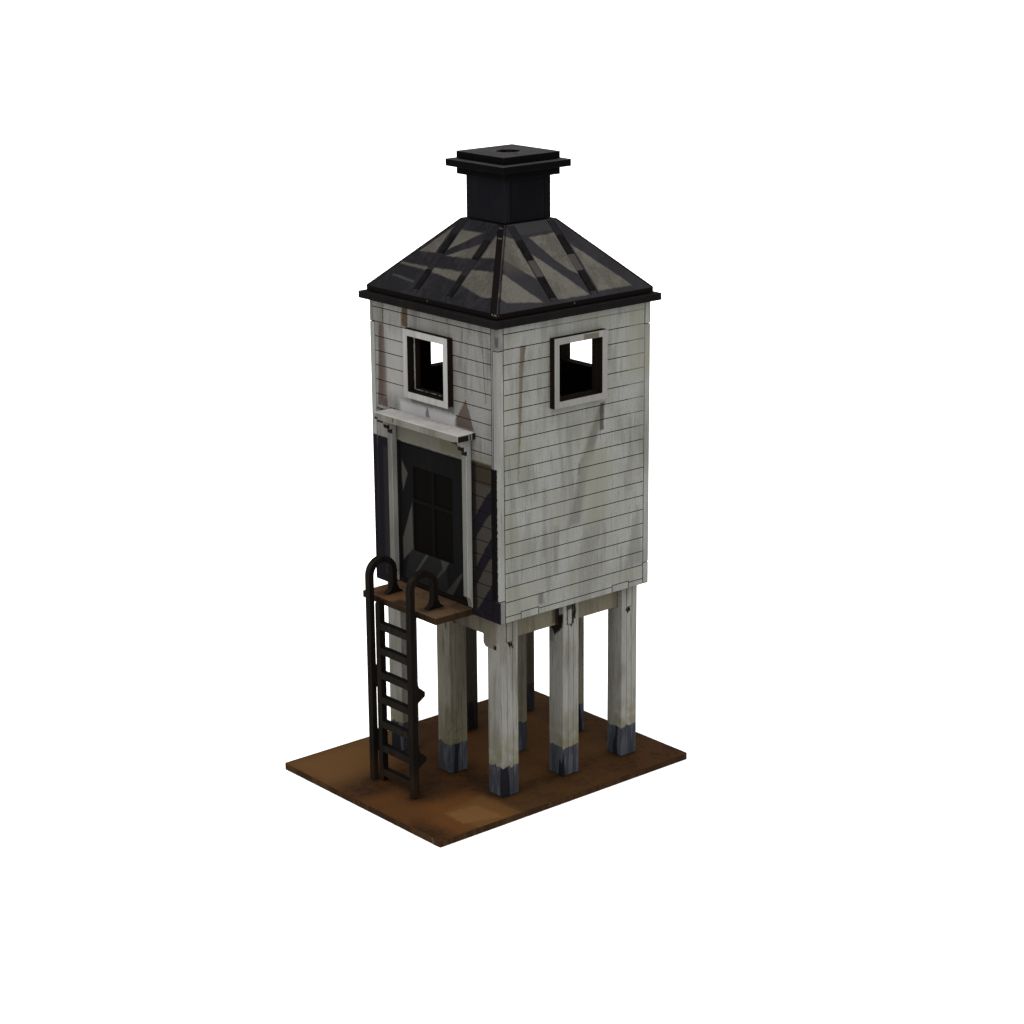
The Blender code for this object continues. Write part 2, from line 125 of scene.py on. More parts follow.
def wall_block(side, u_range, out_range, z_range):
    """A block given along a side, out of it and up."""
    along, outward = side_axes(side)
    low = along * u_range[0] + outward * out_range[0]
    high = along * u_range[1] + outward * out_range[1]
    centre = CABIN_MIDDLE + (low + high) / 2 + Vector((0.0, 0.0, sum(z_range) / 2))
    return add_block(centre, (abs(high.x - low.x), abs(high.y - low.y), z_range[1] - z_range[0]))


def slope_block(side, u, z_range, width, sunk, proud):
    """A block lying on a roof slope, from a higher to a lower place on it."""
    along, outward = side_axes(side)
    z_high, z_low = (z * MM for z in z_range)
    z_middle = (z_high + z_low) / 2
    out_middle = ROOF_HALF + ROOF_EDGE_TOP - z_middle
    normal = (outward + Vector((0.0, 0.0, 1.0))).normalized()
    centre = CABIN_MIDDLE + along * u + outward * out_middle + Vector((0.0, 0.0, z_middle))
    centre += normal * (proud - sunk) / 2
    length = (z_high - z_low) / math.sin(SLOPE)
    return add_block(centre, (width, length, proud + sunk), (SLOPE, 0.0, SIDE_TURN[side]))


def apply_modifier(piece, kind, **settings):
    select_only(piece)
    modifier = piece.modifiers.new(kind.lower(), kind)
    for name, value in settings.items():
        setattr(modifier, name, value)
    bpy.ops.object.modifier_apply(modifier=modifier.name)


def round_edges(piece):
    apply_modifier(piece, "BEVEL", width=EDGE_ROUNDING, segments=1, limit_method="ANGLE", angle_limit=SHARP)


def remade(node_name):
    """A merged copy of a cut board, with the edges softened by its paint."""
    mesh = frame["nodes"][node_name].data.copy()
    piece = bpy.data.objects.new("painted_" + node_name, mesh)
    bpy.context.scene.collection.objects.link(piece)
    select_only(piece)
    bpy.ops.object.mode_set(mode="EDIT")
    bpy.ops.mesh.select_all(action="SELECT")
    bpy.ops.mesh.remove_doubles(threshold=MERGE)
    bpy.ops.mesh.customdata_custom_splitnormals_clear()
    bpy.ops.mesh.dissolve_limited(angle_limit=FLAT)
    bpy.ops.object.mode_set(mode="OBJECT")
    bpy.ops.object.shade_flat()
    round_edges(piece)
    return piece


def cut(piece, cutters):
    """Cuts the bars out of the piece and takes them away."""
    select_only(*cutters)
    bpy.ops.object.join()
    cutter = cutters[0]
    apply_modifier(piece, "BOOLEAN", object=cutter, operation="DIFFERENCE", solver="EXACT", use_self=True)
    bpy.data.objects.remove(cutter)


def finish_piece(piece, name, material):
    piece.name = name
    piece.data.materials.clear()
    piece.data.materials.append(material)
    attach(piece, "root")


def hand_over(piece, node_name, material):
    """The piece stands for its node and takes its finish."""
    finish_piece(piece, "painted_" + node_name, material)
    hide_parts(node_name)


def board_lines(side, u_range, first, count):
    """Bars for the engraved lines between one board and the next."""
    middle = FIRST_BOARD + first * BOARD_PITCH
    half = ENGRAVING_WIDTH / 2
    bar = wall_block(side, [u * MM for u in u_range], ENGRAVING_RANGE, (middle - half, middle + half))
    if count > 1:
        apply_modifier(bar, "ARRAY", count=count, use_relative_offset=False, use_constant_offset=True,
                constant_offset_displace=(0.0, 0.0, BOARD_PITCH))
    return bar


def upright_line(side, u, z_range):
    """A bar for an engraved upright line, such as the joint of two boards."""
    half = ENGRAVING_WIDTH / 2
    return wall_block(side, (u * MM - half, u * MM + half), ENGRAVING_RANGE, [z * MM for z in z_range])


# Engraved lines: the stretch along the wall, the first line and how many. Uprights: the place, foot and
# head. All are in millimetres
FRONT_ROWS = (
    ((16.6, 25.6), 0, 11), ((-27.2, -21.5), 11, 3), ((10.0, 25.6), 11, 3), ((-27.2, -9.6), 14, 5),
    ((8.6, 25.6), 14, 5), ((-27.2, 25.6), 19, 1),
)
SIDE_ROWS = (((-26.4, 26.2), 0, 14), ((-26.4, -9.2), 14, 5), ((9.2, 26.2), 14, 5), ((-26.4, 26.2), 19, 1))
FRONT_UPRIGHTS = (
    (-27.2, (101.0, 139.0)), (25.6, (57.0, 139.3)), (-22.3, (133.0, 137.4)), (-13.7, (133.5, 137.4)),
    (6.9, (137.8, 139.5)), (13.4, (133.4, 137.4)),
)
SIDE_UPRIGHTS = ((-26.4, (57.3, 134.0)), (26.2, (56.2, 137.5)))


def make_wall(side, rows, uprights, material):
    piece = remade("wall_" + side)
    bars = [board_lines(side, u_range, first, count) for u_range, first, count in rows]
    bars += [upright_line(side, u, z_range) for u, z_range in uprights]
    cut(piece, bars)
    hand_over(piece, "wall_" + side, material)


def make_leg(node_name, material):
    """A leg is three boards side by side, so its outer faces show two seams."""
    piece = remade(node_name)
    low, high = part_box(node_name)
    middle = (low + high) / 2
    height = (high.z - low.z) + 2 * CUTTER_PROUD
    seams = []
    for face in (low.x, high.x):
        for offset in (-LEG_SIDE / 6, LEG_SIDE / 6):
            seams.append(add_block((face, middle.y + offset, middle.z), (2 * SEAM_DEPTH, SEAM_WIDTH, height)))
    cut(piece, seams)
    hand_over(piece, node_name, material)


def make_head_plate(row, column, material):
    """A corner leg's outer board, wider at its head. The lower inner corner of the head is cut off."""
    hand = 1 if column == "right" else -1
    side = "front" if row == "front" else "rear"
    mirrored = hand if side == "front" else -hand
    u_range = sorted((mirrored * PLATE_INNER, mirrored * PLATE_OUTER))
    out_range = (LEG_OUTER - LEG_SIDE / 3, LEG_OUTER + PLATE_PROUD)
    plate = wall_block(side, u_range, out_range, (PLATE_FOOT, LEG_HIGH.z))
    select_only(plate)
    for edge in plate.data.edges:
        ends = [plate.data.vertices[index].co for index in edge.vertices]
        edge.select = all(abs(end.x) < PLATE_INNER + MERGE and end.z < PLATE_FOOT + MERGE for end in ends)
    for face in plate.data.polygons:
        face.select = False
    bpy.ops.object.mode_set(mode="EDIT")
    bpy.ops.mesh.select_mode(type="EDGE")
    bpy.ops.mesh.bevel(offset=PLATE_CHAMFER, segments=1)
    bpy.ops.object.mode_set(mode="OBJECT")
    round_edges(plate)
    finish_piece(plate, f"head_plate_{row}_{column}", material)


def make_roof(side, material, tab_material):
    """A slope with two ribs, each outlined by engraved lines and filled by turns with tabs and battens."""
    piece = remade("roof_" + side)
    lines = []
    for u in RIB_MIDDLES.values():
        for edge in (u - RIB_WIDTH / 2, u + RIB_WIDTH / 2):
            line = slope_block(side, edge, RIB_LINE_RANGE, RIB_LINE_WIDTH, ENGRAVING_DEPTH, CUTTER_PROUD)
            lines.append(line)
    cut(piece, lines)
    hand_over(piece, "roof_" + side, material)
    parts = [("tab", z_range, RIB_PROUD, tab_material) for z_range in RIB_TABS]
    parts += [("batten", z_range, RIB_PROUD / 2, material) for z_range in RIB_BATTENS]
    for hand, u in RIB_MIDDLES.items():
        for number, (kind, z_range, proud, finish) in enumerate(parts, start=1):
            part = slope_block(side, u, z_range, RIB_WIDTH, RIB_SUNK, proud)
            round_edges(part)
            finish_piece(part, f"roof_{kind}_{side}_{hand}_{number}", finish)


# Node trees

class Mix:
    """A node tree that paints are mixed in, with short calls for its nodes."""

    def __init__(self, tree):
        self.tree = tree

    def node(self, kind, inputs=(), **settings):
        made = self.tree.nodes.new(kind)
        for name, value in settings.items():
            setattr(made, name, value)
        for key, value in dict(inputs).items():
            self.feed(made.inputs[key], value)
        return made

    def feed(self, socket, value):
        if isinstance(value, bpy.types.NodeSocket):
            self.tree.links.new(value, socket)
        elif value is not None:
            socket.default_value = value

    def calc(self, operation, *values):
        return self.node("ShaderNodeMath", enumerate(values), operation=operation).outputs[0]

    def times(self, first, second):
        return self.calc("MULTIPLY", first, second)

    def plus(self, first, second):
        return self.calc("ADD", first, second)

    def minus(self, first, second):
        return self.calc("SUBTRACT", first, second)

    def inverse(self, mask):
        return self.minus(1.0, mask)

    def vector(self, operation, *values):
        return self.node("ShaderNodeVectorMath", enumerate(values), operation=operation).outputs[0]

    def dot(self, first, second):
        made = self.node("ShaderNodeVectorMath", {0: first, 1: second}, operation="DOT_PRODUCT")
        return made.outputs["Value"]

    def parts(self, vector):
        return self.node("ShaderNodeSeparateXYZ", {0: vector}).outputs

    def combine(self, x, y, z=1.0):
        """A vector. A place on a face has 1 as its last part, which a patch's sides multiply."""
        return self.node("ShaderNodeCombineXYZ", {0: x, 1: y, 2: z}).outputs[0]

    def ramp(self, value, low, high):
        """Rises softly from 0 at low to 1 at high."""
        made = self.node("ShaderNodeMapRange", {0: value, 1: low, 2: high}, interpolation_type="SMOOTHSTEP")
        return made.outputs[0]

    def noise(self, place, scale, detail=3.0, roughness=0.55):
        inputs = {"Vector": place, "Scale": scale, "Detail": detail, "Roughness": roughness}
        return self.node("ShaderNodeTexNoise", inputs).outputs[0]

    def strokes(self, place, rise, scale, detail, roughness=0.55):
        """Noise drawn out upwards. The smaller the rise, the longer the strokes."""
        return self.noise(self.vector("MULTIPLY", place, (1.0, 1.0, rise)), scale, detail, roughness)

    def swing(self, noise, amount):
        """The noise brought round 0, and made this large."""
        return self.times(self.minus(noise, 0.5), amount)

    def over(self, factor, below, above):
        """One colour laid over another."""
        inputs = {0: factor, 6: below, 7: above}
        return self.node("ShaderNodeMix", inputs, data_type="RGBA", clamp_factor=True).outputs[2]

    def group(self, name, **inputs):
        made = self.node("ShaderNodeGroup", node_tree=bpy.data.node_groups[name])
        for key, value in inputs.items():
            self.feed(made.inputs[key.replace("_", " ")], value)
        return made.outputs


def new_group(name, inputs, outputs):
    tree = bpy.data.node_groups.new(name, "ShaderNodeTree")
    for label, kind in inputs:
        tree.interface.new_socket(label, in_out="INPUT", socket_type="NodeSocket" + kind)
    for label, kind in outputs:
        tree.interface.new_socket(label, in_out="OUTPUT", socket_type="NodeSocket" + kind)
    mix = Mix(tree)
    return mix, mix.node("NodeGroupInput").outputs, mix.node("NodeGroupOutput").inputs


def make_patch_group():
    """A painted patch with four straight sides, each given by its inward direction and minus its distance."""
    sides = [("side " + str(i), "Vector") for i in range(1, 5)]
    inputs = [("place", "Vector")] + sides + [("soft", "Float")]
    mix, given, out = new_group("painted patch", inputs, [("mask", "Float")])
    inside = mix.dot(given["place"], given[1])
    for i in range(2, 5):
        inside = mix.calc("MINIMUM", inside, mix.dot(given["place"], given[i]))
    edge = mix.plus(mix.calc("DIVIDE", inside, given["soft"]), 0.5)
    mix.feed(out["mask"], mix.ramp(edge, 0.0, 1.0))


def make_ragged_group():
    """Moves a place about a little, so that what is drawn there gets a brushed, uneven edge."""
    inputs = [("place", "Vector"), ("scale", "Float"), ("amount", "Float")]
    mix, given, out = new_group("ragged edge", inputs, [("place", "Vector")])
    look = {"Vector": given["place"], "Scale": given["scale"], "Detail": 4.0, "Roughness": 0.6}
    noise = mix.node("ShaderNodeTexNoise", look)
    shift = mix.vector("SUBTRACT", noise.outputs["Color"], (0.5, 0.5, 0.5))
    scaled = mix.node("ShaderNodeVectorMath", {0: shift}, operation="SCALE")
    mix.feed(scaled.inputs["Scale"], given["amount"])
    mix.feed(out["place"], mix.vector("ADD", given["place"], scaled.outputs[0]))


# How a hairline's tone differs from the paint round it
HAIR_TONE = -0.28


def make_weather_group():
    """Brushed matt paint over a colour: fine speckle, brush strokes, hairlines and broad washes of dirt."""
    inputs = [("place", "Vector"), ("paint", "Color"), ("wash", "Color"), ("wash amount", "Float"),
            ("speckle", "Float"), ("streaks", "Float")]
    mix, given, out = new_group("weathered paint", inputs, [("colour", "Color"), ("height", "Float")])
    place = given["place"]
    strokes = mix.strokes(place, 0.1, 0.6, 4.0, 0.6)
    broad = mix.strokes(place, 0.4, 0.11, 2.0, 0.5)
    hairs = mix.ramp(mix.strokes(place, 0.05, 1.7, 2.0, 0.5), 0.6, 0.7)
    grain = mix.noise(place, 2.6, 3.0, 0.7)
    mixed = mix.plus(mix.times(strokes, 0.5), mix.times(broad, 0.5))
    wash = mix.times(mix.ramp(mixed, 0.45, 0.6), given["wash amount"])
    washed = mix.over(wash, given["paint"], given["wash"])
    stroke_tone = mix.swing(strokes, given["streaks"])
    grain_tone = mix.swing(grain, given["speckle"])
    hair_tone = mix.times(mix.times(hairs, HAIR_TONE), given["streaks"])
    tone = mix.plus(mix.plus(stroke_tone, grain_tone), mix.plus(hair_tone, 1.0))
    mix.feed(out["colour"], mix.vector("MULTIPLY", washed, mix.combine(tone, tone, tone)))
    mix.feed(out["height"], grain)


def make_faces_group():
    """Which way a board's face points: out of its side, along it or up, and where an edge is worn round."""
    inputs = [(name, "Vector") for name in ("normal", "along", "outward")]
    outputs = [(name, "Float") for name in ("front", "end", "top", "edge")]
    mix, given, out = new_group("board faces", inputs, outputs)
    front = mix.dot(given["normal"], given["outward"])
    end = mix.dot(given["normal"], given["along"])
    top = mix.parts(given["normal"])[2]
    largest = mix.calc("ABSOLUTE", front)
    for part in (end, top):
        largest = mix.calc("MAXIMUM", largest, mix.calc("ABSOLUTE", part))
    for name, value in (("front", front), ("end", end), ("top", top)):
        mix.feed(out[name], mix.ramp(value, 0.5, 0.75))
    mix.feed(out["edge"], mix.inverse(mix.ramp(largest, 0.8, 0.95)))


def new_material(name):
    material = bpy.data.materials.new(name)
    material.use_nodes = True
    material.node_tree.nodes.clear()
    return material, Mix(material.node_tree)


# Matt paint, and how deep its grain is
PAINT_ROUGHNESS = 0.9
PAINT_SHINE = 0.02
GRAIN_STRENGTH = 0.35
GRAIN_DEPTH = 0.05 * MM


def finish_material(mix, colour, height):
    """The painted surface itself, from its colour and its grain."""
    grain = {"Height": height, "Strength": GRAIN_STRENGTH, "Distance": GRAIN_DEPTH}
    bumped = mix.node("ShaderNodeBump", grain).outputs[0]
    look = {"Base Color": colour, "Roughness": PAINT_ROUGHNESS, "Specular IOR Level": PAINT_SHINE,
            "Normal": bumped}
    shader = mix.node("ShaderNodeBsdfPrincipled", look)
    output = mix.node("ShaderNodeOutputMaterial")
    mix.feed(output.inputs["Surface"], shader.outputs[0])


def face_place(mix, side="front"):
    """Object coordinates in millimetres in a side's own directions: along it, into it and up."""
    coordinates = mix.node("ShaderNodeTexCoord").outputs["Object"]
    turn = (0.0, 0.0, SIDE_TURN[side])
    inputs = {"Vector": coordinates, "Location": CABIN_MIDDLE, "Rotation": turn, "Scale": (MM, MM, MM)}
    return mix.node("ShaderNodeMapping", inputs, vector_type="TEXTURE").outputs[0]


def board_faces(mix, side="front"):
    along, outward = side_axes(side)
    normal = mix.node("ShaderNodeTexCoord").outputs["Normal"]
    return mix.group("board faces", normal=normal, along=along, outward=outward)


def ragged_parts(mix, place, scale=0.9, amount=0.9):
    """The parts of a place, moved about so that patches get ragged edges."""
    return mix.parts(mix.group("ragged edge", place=place, scale=scale, amount=amount)[0])


def at_reach(mix, distance, reach):
    """1 on the face that lies at this reach, and 0 just behind it."""
    return mix.ramp(distance, reach - 0.12, reach - 0.06)


def patch_sides(corners):
    """Four sides from four corners, or three: the direction inwards of each, and minus its distance."""
    points = [Vector(corner) for corner in corners]
    if len(points) == 3:
        points.append((points[2] + points[0]) / 2)
    following = points[1:] + points[:1]
    turn = 1.0 if sum(a.x * b.y - b.x * a.y for a, b in zip(points, following)) > 0 else -1.0
    sides = {}
    for number, (here, there) in enumerate(zip(points, following), start=1):
        edge = (there - here).normalized() * turn
        inward = Vector((-edge.y, edge.x))
        sides[f"side_{number}"] = (inward.x, inward.y, -inward.dot(here))
    return sides


def rect(left, right, foot, head):
    """The corners of an upright rectangle."""
    return ((left, foot), (right, foot), (right, head), (left, head))


def mirrored(patches):
    """The same patches with left and right changed over."""
    turned = []
    for paint, strength, soft, *shapes in patches:
        shapes = [tuple((-u, z) for u, z in corners) for corners in shapes]
        turned.append((paint, strength, soft, *shapes))
    return tuple(turned)


def lay_patches(mix, colour, flat, patches, within=None):
    """Lays patches over a colour. A row has a paint, how strong and how soft-edged it is, and the corners."""
    for paint, strength, soft, *shapes in patches:
        for corners in shapes:
            mask = mix.group("painted patch", place=flat, soft=soft, **patch_sides(corners))[0]
            if strength < 1.0:
                mask = mix.times(mask, strength)
            if within is not None:
                mask = mix.times(mask, within)
            colour = mix.over(mask, colour, paint)
    return colour


# Paints, each as the eye reads it in the studio's light

PAINT_SHARE = 0.5


def seen(red, green, blue):
    """The paint that the eye reads as this colour, each part from 0 to 255."""
    def linear(value):
        share = value / 255
        return PAINT_SHARE * (share / 12.92 if share <= 0.04045 else ((share + 0.055) / 1.055) ** 2.4)
    return (linear(red), linear(green), linear(blue), 1.0)


# Masks to lay patches on
MASK_FULL = (1.0, 1.0, 1.0, 1.0)
MASK_EMPTY = (0.0, 0.0, 0.0, 1.0)

WALL_LIGHT = seen(140, 140, 136)
WALL_WASH = seen(112, 111, 105)
FRONT_WALL_LIGHT = seen(128, 127, 124)
FRONT_WALL_WASH = seen(94, 93, 90)
WALL_BRIGHT = seen(154, 152, 148)
WALL_CHALK_AND_LIGHT = seen(178, 176, 176)
WALL_WARM = seen(120, 115, 107)
WALL_GREEN = seen(128, 128, 115)
NAVY = seen(22, 20, 25)
NAVY_GREY = seen(40, 38, 40)
STRIPE_GREY = seen(55, 51, 47)
STRIPE_BROWN = seen(48, 41, 33)
RUST_BROWN = seen(76, 64, 59)
OCHRE_BROWN = seen(76, 63, 47)
DRIP_BROWN = seen(64, 58, 47)
WEDGE_BROWN = seen(84, 75, 67)
STAIN_BROWN = seen(84, 74, 58)
GREY_STAIN_AND_SHADE = seen(100, 99, 92)
LINTEL_SHADE = seen(98, 96, 84)
LINTEL_GRIME = seen(84, 83, 66)
OLIVE_BEIGE = seen(104, 101, 86)
BURNT_AND_SHADE = seen(27, 21, 16)
INSIDE_BROWN = seen(20, 16, 13)
BLACK_PAINT_AND_SHADE = seen(13, 12, 12)
BLACK_BROWN = seen(22, 18, 16)
PALE_CHIP = seen(128, 124, 116)

# Walls

# Each wall's paint, its wash and the tint of its blotches
FRONT_WALL_PAINT = (FRONT_WALL_LIGHT, FRONT_WALL_WASH, WALL_WARM)
SIDE_WALL_PAINT = (WALL_LIGHT, WALL_WASH, WALL_GREEN)

# Rows of patches: paint, strength, softness, then the corners of each, along the face and up in millimetres
FRONT_PATCHES = (
    (NAVY, 1, 0.4, ((-28.8, 55), (-20.8, 55), (-20.8, 99.9), (-28.8, 99.6))),
    (NAVY_GREY, 0.6, 1.2, rect(-23.5, -21.2, 58, 97)),
    # Painted shadow in the narrow gaps between the posts and the door
    (BURNT_AND_SHADE, 1, 0.3, rect(-20.9, -15, 54, 100.3), rect(14.3, 17.1, 54, 100.3)),
    (STRIPE_GREY, 1, 0.4, rect(17, 25.4, 54, 96)),
    (STRIPE_BROWN, 1, 0.6, rect(17, 25.5, 94.6, 101)),
    (NAVY, 1, 0.4, ((22, 90.5), (25.4, 94.2), (25.4, 87.6), (22, 84)),
     ((17, 83.4), (22.1, 90.6), (22.1, 84), (17, 77)), ((22, 76), (25.4, 80.4), (25.4, 75), (22, 70.6)),
     ((17, 68.2), (22.1, 76.1), (22.1, 70.7), (17, 63)),
     ((17, 55.4), (25.4, 55.4), (25.4, 67), (18.6, 57.6))),
    # Painted shadow beside the right post, over a dark stain
    (BLACK_BROWN, 0.9, 0.8, rect(16.6, 18.6, 56, 100.6)),
    (OLIVE_BEIGE, 0.6, 1.2, rect(17, 25.6, 100.8, 103)),
    (BLACK_PAINT_AND_SHADE, 1, 0.4, rect(25.1, 26.8, 54, 100)),
    (NAVY, 1, 0.4, rect(25.2, 28.8, 54, 62)),
    (OCHRE_BROWN, 1, 0.4, rect(-13.4, -10.8, 133.8, 140)),
    (GREY_STAIN_AND_SHADE, 0.9, 0.6, ((-24.2, 133), (-21.9, 133), (-21.6, 140), (-23, 140))),
    (RUST_BROWN, 0.95, 0.5, ((-25.3, 109), (-20.8, 109), (-21.9, 133), (-24.2, 133))),
    (WEDGE_BROWN, 1, 0.4, ((8.8, 109.3), (18, 109.3), (14.7, 117.6))),
    # Pale chalky paint, made brighter still as painted light against the shade of the canopy and window frame
    (WALL_CHALK_AND_LIGHT, 0.85, 1.8, rect(-15, 10, 107.5, 112.2)),
    (GREY_STAIN_AND_SHADE, 0.9, 0.5, ((-3.4, 109.4), (-1.5, 109.4), (-2.6, 113))),
    # Grey dirt with painted shadow under the window frame
    (GREY_STAIN_AND_SHADE, 0.85, 0.9, rect(-10.5, 9.5, 112.6, 114.6)),
    (WALL_BRIGHT, 0.6, 5.0, rect(-21, -11, 113, 132)),
    (GREY_STAIN_AND_SHADE, 0.7, 0.8, rect(25.8, 28.8, 133.6, 140)),
    (NAVY_GREY, 0.6, 1.0, rect(27.3, 28.8, 134.2, 137)),
    (BLACK_BROWN, 1, 0.3, rect(-15.2, 14.5, 54, 60.6)),
    (BURNT_AND_SHADE, 1, 0.15, rect(-10.4, -8.1, 115, 133), rect(-10.4, 9, 114.8, 116.6)),
    # Painted shade on the strip of wall under the canopy, above the door
    (LINTEL_SHADE, 0.9, 0.8, rect(-17, 15.2, 100.2, 107)),
    (LINTEL_GRIME, 0.6, 2.0, rect(3, 13, 100.5, 104)),
    (BURNT_AND_SHADE, 0.8, 0.4, rect(-17, 15.2, 99.2, 100.2)),
    (BURNT_AND_SHADE, 0.6, 0.2, ((21.7, 135), (22, 135), (23.4, 118), (23.1, 118))),
    (BURNT_AND_SHADE, 0.8, 0.2, rect(-20, -17.5, 108.7, 109.2), rect(-26, -23, 107.5, 107.9)),
)
SIDE_DRIPS = (
    (BURNT_AND_SHADE, 1, 0.15, rect(-8.8, 8.8, 115.6, 133.2)),
    (STAIN_BROWN, 0.85, 0.4, ((-20.6, 128), (-19.2, 128), (-18.3, 133.6), (-20.5, 133.6))),
    (STAIN_BROWN, 0.8, 0.6, ((-21.3, 106), (-20.5, 106), (-19.2, 128.2), (-20.8, 128.2))),
    (STAIN_BROWN, 0.6, 0.8, ((-21.7, 96), (-21.3, 96), (-20.6, 106.2), (-21.3, 106.2))),
    (GREY_STAIN_AND_SHADE, 0.95, 2.0, ((1.8, 97), (6.2, 97), (10.8, 113), (8.2, 112))),
    (GREY_STAIN_AND_SHADE, 0.75, 2.4, ((-3.0, 79), (1.6, 79), (5.8, 98), (2.0, 98))),
    (DRIP_BROWN, 0.85, 0.7, ((8.9, 105), (10.4, 105), (10.8, 113), (9.0, 113))),
    (GREY_STAIN_AND_SHADE, 0.9, 0.5, ((0.6, 93.4), (1.5, 93.4), (1.8, 96.6), (0.9, 96.6))),
)
SIDE_DIRT = (
    (WALL_CHALK_AND_LIGHT, 0.12, 4.0, rect(-27, -21, 108, 134)),
    (WALL_GREEN, 0.7, 5.0, rect(3, 12, 78, 100)),
    (WALL_GREEN, 0.6, 4.0, rect(19.5, 28.8, 119, 140)),
    (WALL_GREEN, 0.5, 4.0, rect(-26.5, -14, 57, 66)),
    (GREY_STAIN_AND_SHADE, 0.5, 2.2, ((19, 62), (26, 62), (24.4, 80), (23.6, 80))),
    (RUST_BROWN, 0.6, 1.2, rect(-14.3, -12.4, 58.3, 61.6)),
    (GREY_STAIN_AND_SHADE, 0.4, 1.4, rect(-24.5, -23.5, 70, 95), rect(-12.6, -11.2, 72, 92),
     rect(-8.4, -6.8, 66, 80)),
    (GREY_STAIN_AND_SHADE, 0.35, 1.4, rect(-18.6, -16.8, 74, 86)),
)
# On a wall's end, across the board's thickness from its outer face, and up
RIGHT_WALL_END = (
    (FRONT_WALL_LIGHT, 0.85, 0.3, rect(-0.4, 2.8, 99, 134.4)),
    (BLACK_PAINT_AND_SHADE, 1, 0.3, rect(0.75, 2.8, 54, 100)),
    (GREY_STAIN_AND_SHADE, 0.4, 0.6, rect(0.9, 1.4, 102, 133)),
)
LEFT_WALL_END = ((NAVY, 1, 0.3, rect(-0.6, 2.6, 54, 99.8)),)
# Where paint has filled the engraved lines, so that they hardly show
FRONT_FILLED_LINES = ((MASK_EMPTY, 1, 2.0, rect(-28.8, -20.8, 54, 100)),)
SIDE_FILLED_LINES = (
    (MASK_EMPTY, 0.75, 2.0, ((-15, 140), (-15, 136.6), (28.8, 134), (28.8, 140)),
     ((20, 140), (20, 108), (28.8, 96), (28.8, 140))),
)
# How far each wall's dirt is moved, in millimetres, so that no two walls look alike
DIRT_SHIFT = {
    "front": (0.0, 0.0, 0.0), "right": (0.0, 0.0, 0.0), "rear": (70.0, 0.0, 35.0), "left": (140.0, 0.0, 90.0),
}
# Depths in millimetres: where the face's paint ends, a line darkens, its filler ends and the inside begins
PAINT_ENDS = (0.25, 0.4)
LINE_DARKENS = (0.06, 0.14)
FILLER_ENDS = (0.3, 0.4)
INSIDE_BEGINS = (1.7, 1.95)


def wall_material(side, patches, on_end=(), end_sign=1):
    """Boards with engraved lines. The patches on the end lie on its right end where the sign is 1."""
    material, mix = new_material("wall paint " + side)
    half = CABIN_HALF / MM
    place = face_place(mix, side)
    u, depth, z = mix.parts(place)
    ragged_u, ragged_depth, ragged_z = ragged_parts(mix, place)
    paint, wash, tint = FRONT_WALL_PAINT if side == "front" else SIDE_WALL_PAINT
    dirt_place = mix.vector("ADD", place, DIRT_SHIFT[side])
    weathered = mix.group("weathered paint", place=dirt_place, paint=paint, wash=wash, wash_amount=0.8,
            speckle=0.8, streaks=0.7)
    blotches = mix.times(mix.ramp(mix.noise(dirt_place, 0.07, 2.0), 0.48, 0.66), 0.45)
    colour = mix.over(blotches, weathered["colour"], tint)
    from_face = mix.plus(depth, half)
    near_face = mix.inverse(mix.ramp(from_face, *PAINT_ENDS))
    colour = lay_patches(mix, colour, mix.combine(ragged_u, ragged_z), patches, near_face)
    if on_end:
        across_end = mix.combine(mix.plus(ragged_depth, half), ragged_z)
        at_end = at_reach(mix, mix.times(u, end_sign), half)
        colour = lay_patches(mix, colour, across_end, on_end, at_end)
    cut_depth = mix.calc("MINIMUM", from_face, mix.minus(half, mix.calc("ABSOLUTE", u)))
    filled = FRONT_FILLED_LINES if side == "front" else SIDE_FILLED_LINES
    shown = lay_patches(mix, MASK_FULL, mix.combine(u, z), filled)
    shown = mix.calc("MAXIMUM", shown, mix.ramp(cut_depth, *FILLER_ENDS))
    line = mix.times(mix.ramp(cut_depth, *LINE_DARKENS), shown)
    colour = mix.over(line, colour, BURNT_AND_SHADE)
    colour = mix.over(mix.ramp(cut_depth, *INSIDE_BEGINS), colour, INSIDE_BROWN)
    finish_material(mix, colour, weathered["height"])
    return material


# Roof

# Light patches, laid on a mask. Their strength is how much of the dark paint they cover
FRONT_ROOF_LIGHTS = (
    (MASK_FULL, 1, 0.5, ((-10, 160.5), (-10, 154), (-16.8, 153.6)),
     ((-6, 160.2), (3, 160.2), (-3, 156.8), (-6, 155.3)), ((-5, 153.7), (5.4, 157.8), (5.4, 154.2)),
     ((9, 154.9), (16.8, 155.4), (12, 160.2), (9, 160.2))),
    (MASK_FULL, 0.8, 0.5, ((-21, 149.9), (-10, 149.7), (-10, 150.5), (-21, 150.4))),
    (MASK_FULL, 1, 0.5, ((-10, 149.8), (5.4, 148.7), (5.4, 151), (-10, 150.4)),
     ((8.3, 148.1), (18, 146.6), (18, 152.3), (8.3, 151.8)),
     ((18, 146.6), (20, 146.4), (23.5, 147), (18, 152.3))),
    (MASK_FULL, 0.45, 0.5, ((-21, 147), (-10.5, 146.3), (-10.5, 146.8), (-21, 147.4))),
)
SIDE_ROOF_LIGHTS = (
    (MASK_FULL, 1, 0.5, ((-16.8, 155.3), (-9.4, 149.8), (-9.4, 159.6), (-12.4, 160.6)),
     ((-25.3, 147.2), (-23.8, 145.8), (-11.7, 144.4), (-19.6, 152.2)),
     ((-3.8, 159.4), (0, 154), (6.2, 154), (6.2, 159.6)), ((0, 154), (3, 151), (6.2, 149), (6.2, 154)),
     ((-6.4, 144.4), (5.8, 144.4), (0.6, 149.2), (-6.3, 156.2)),
     ((9, 144.8), (21.6, 144.8), (19.5, 147), (9, 156.4))),
)
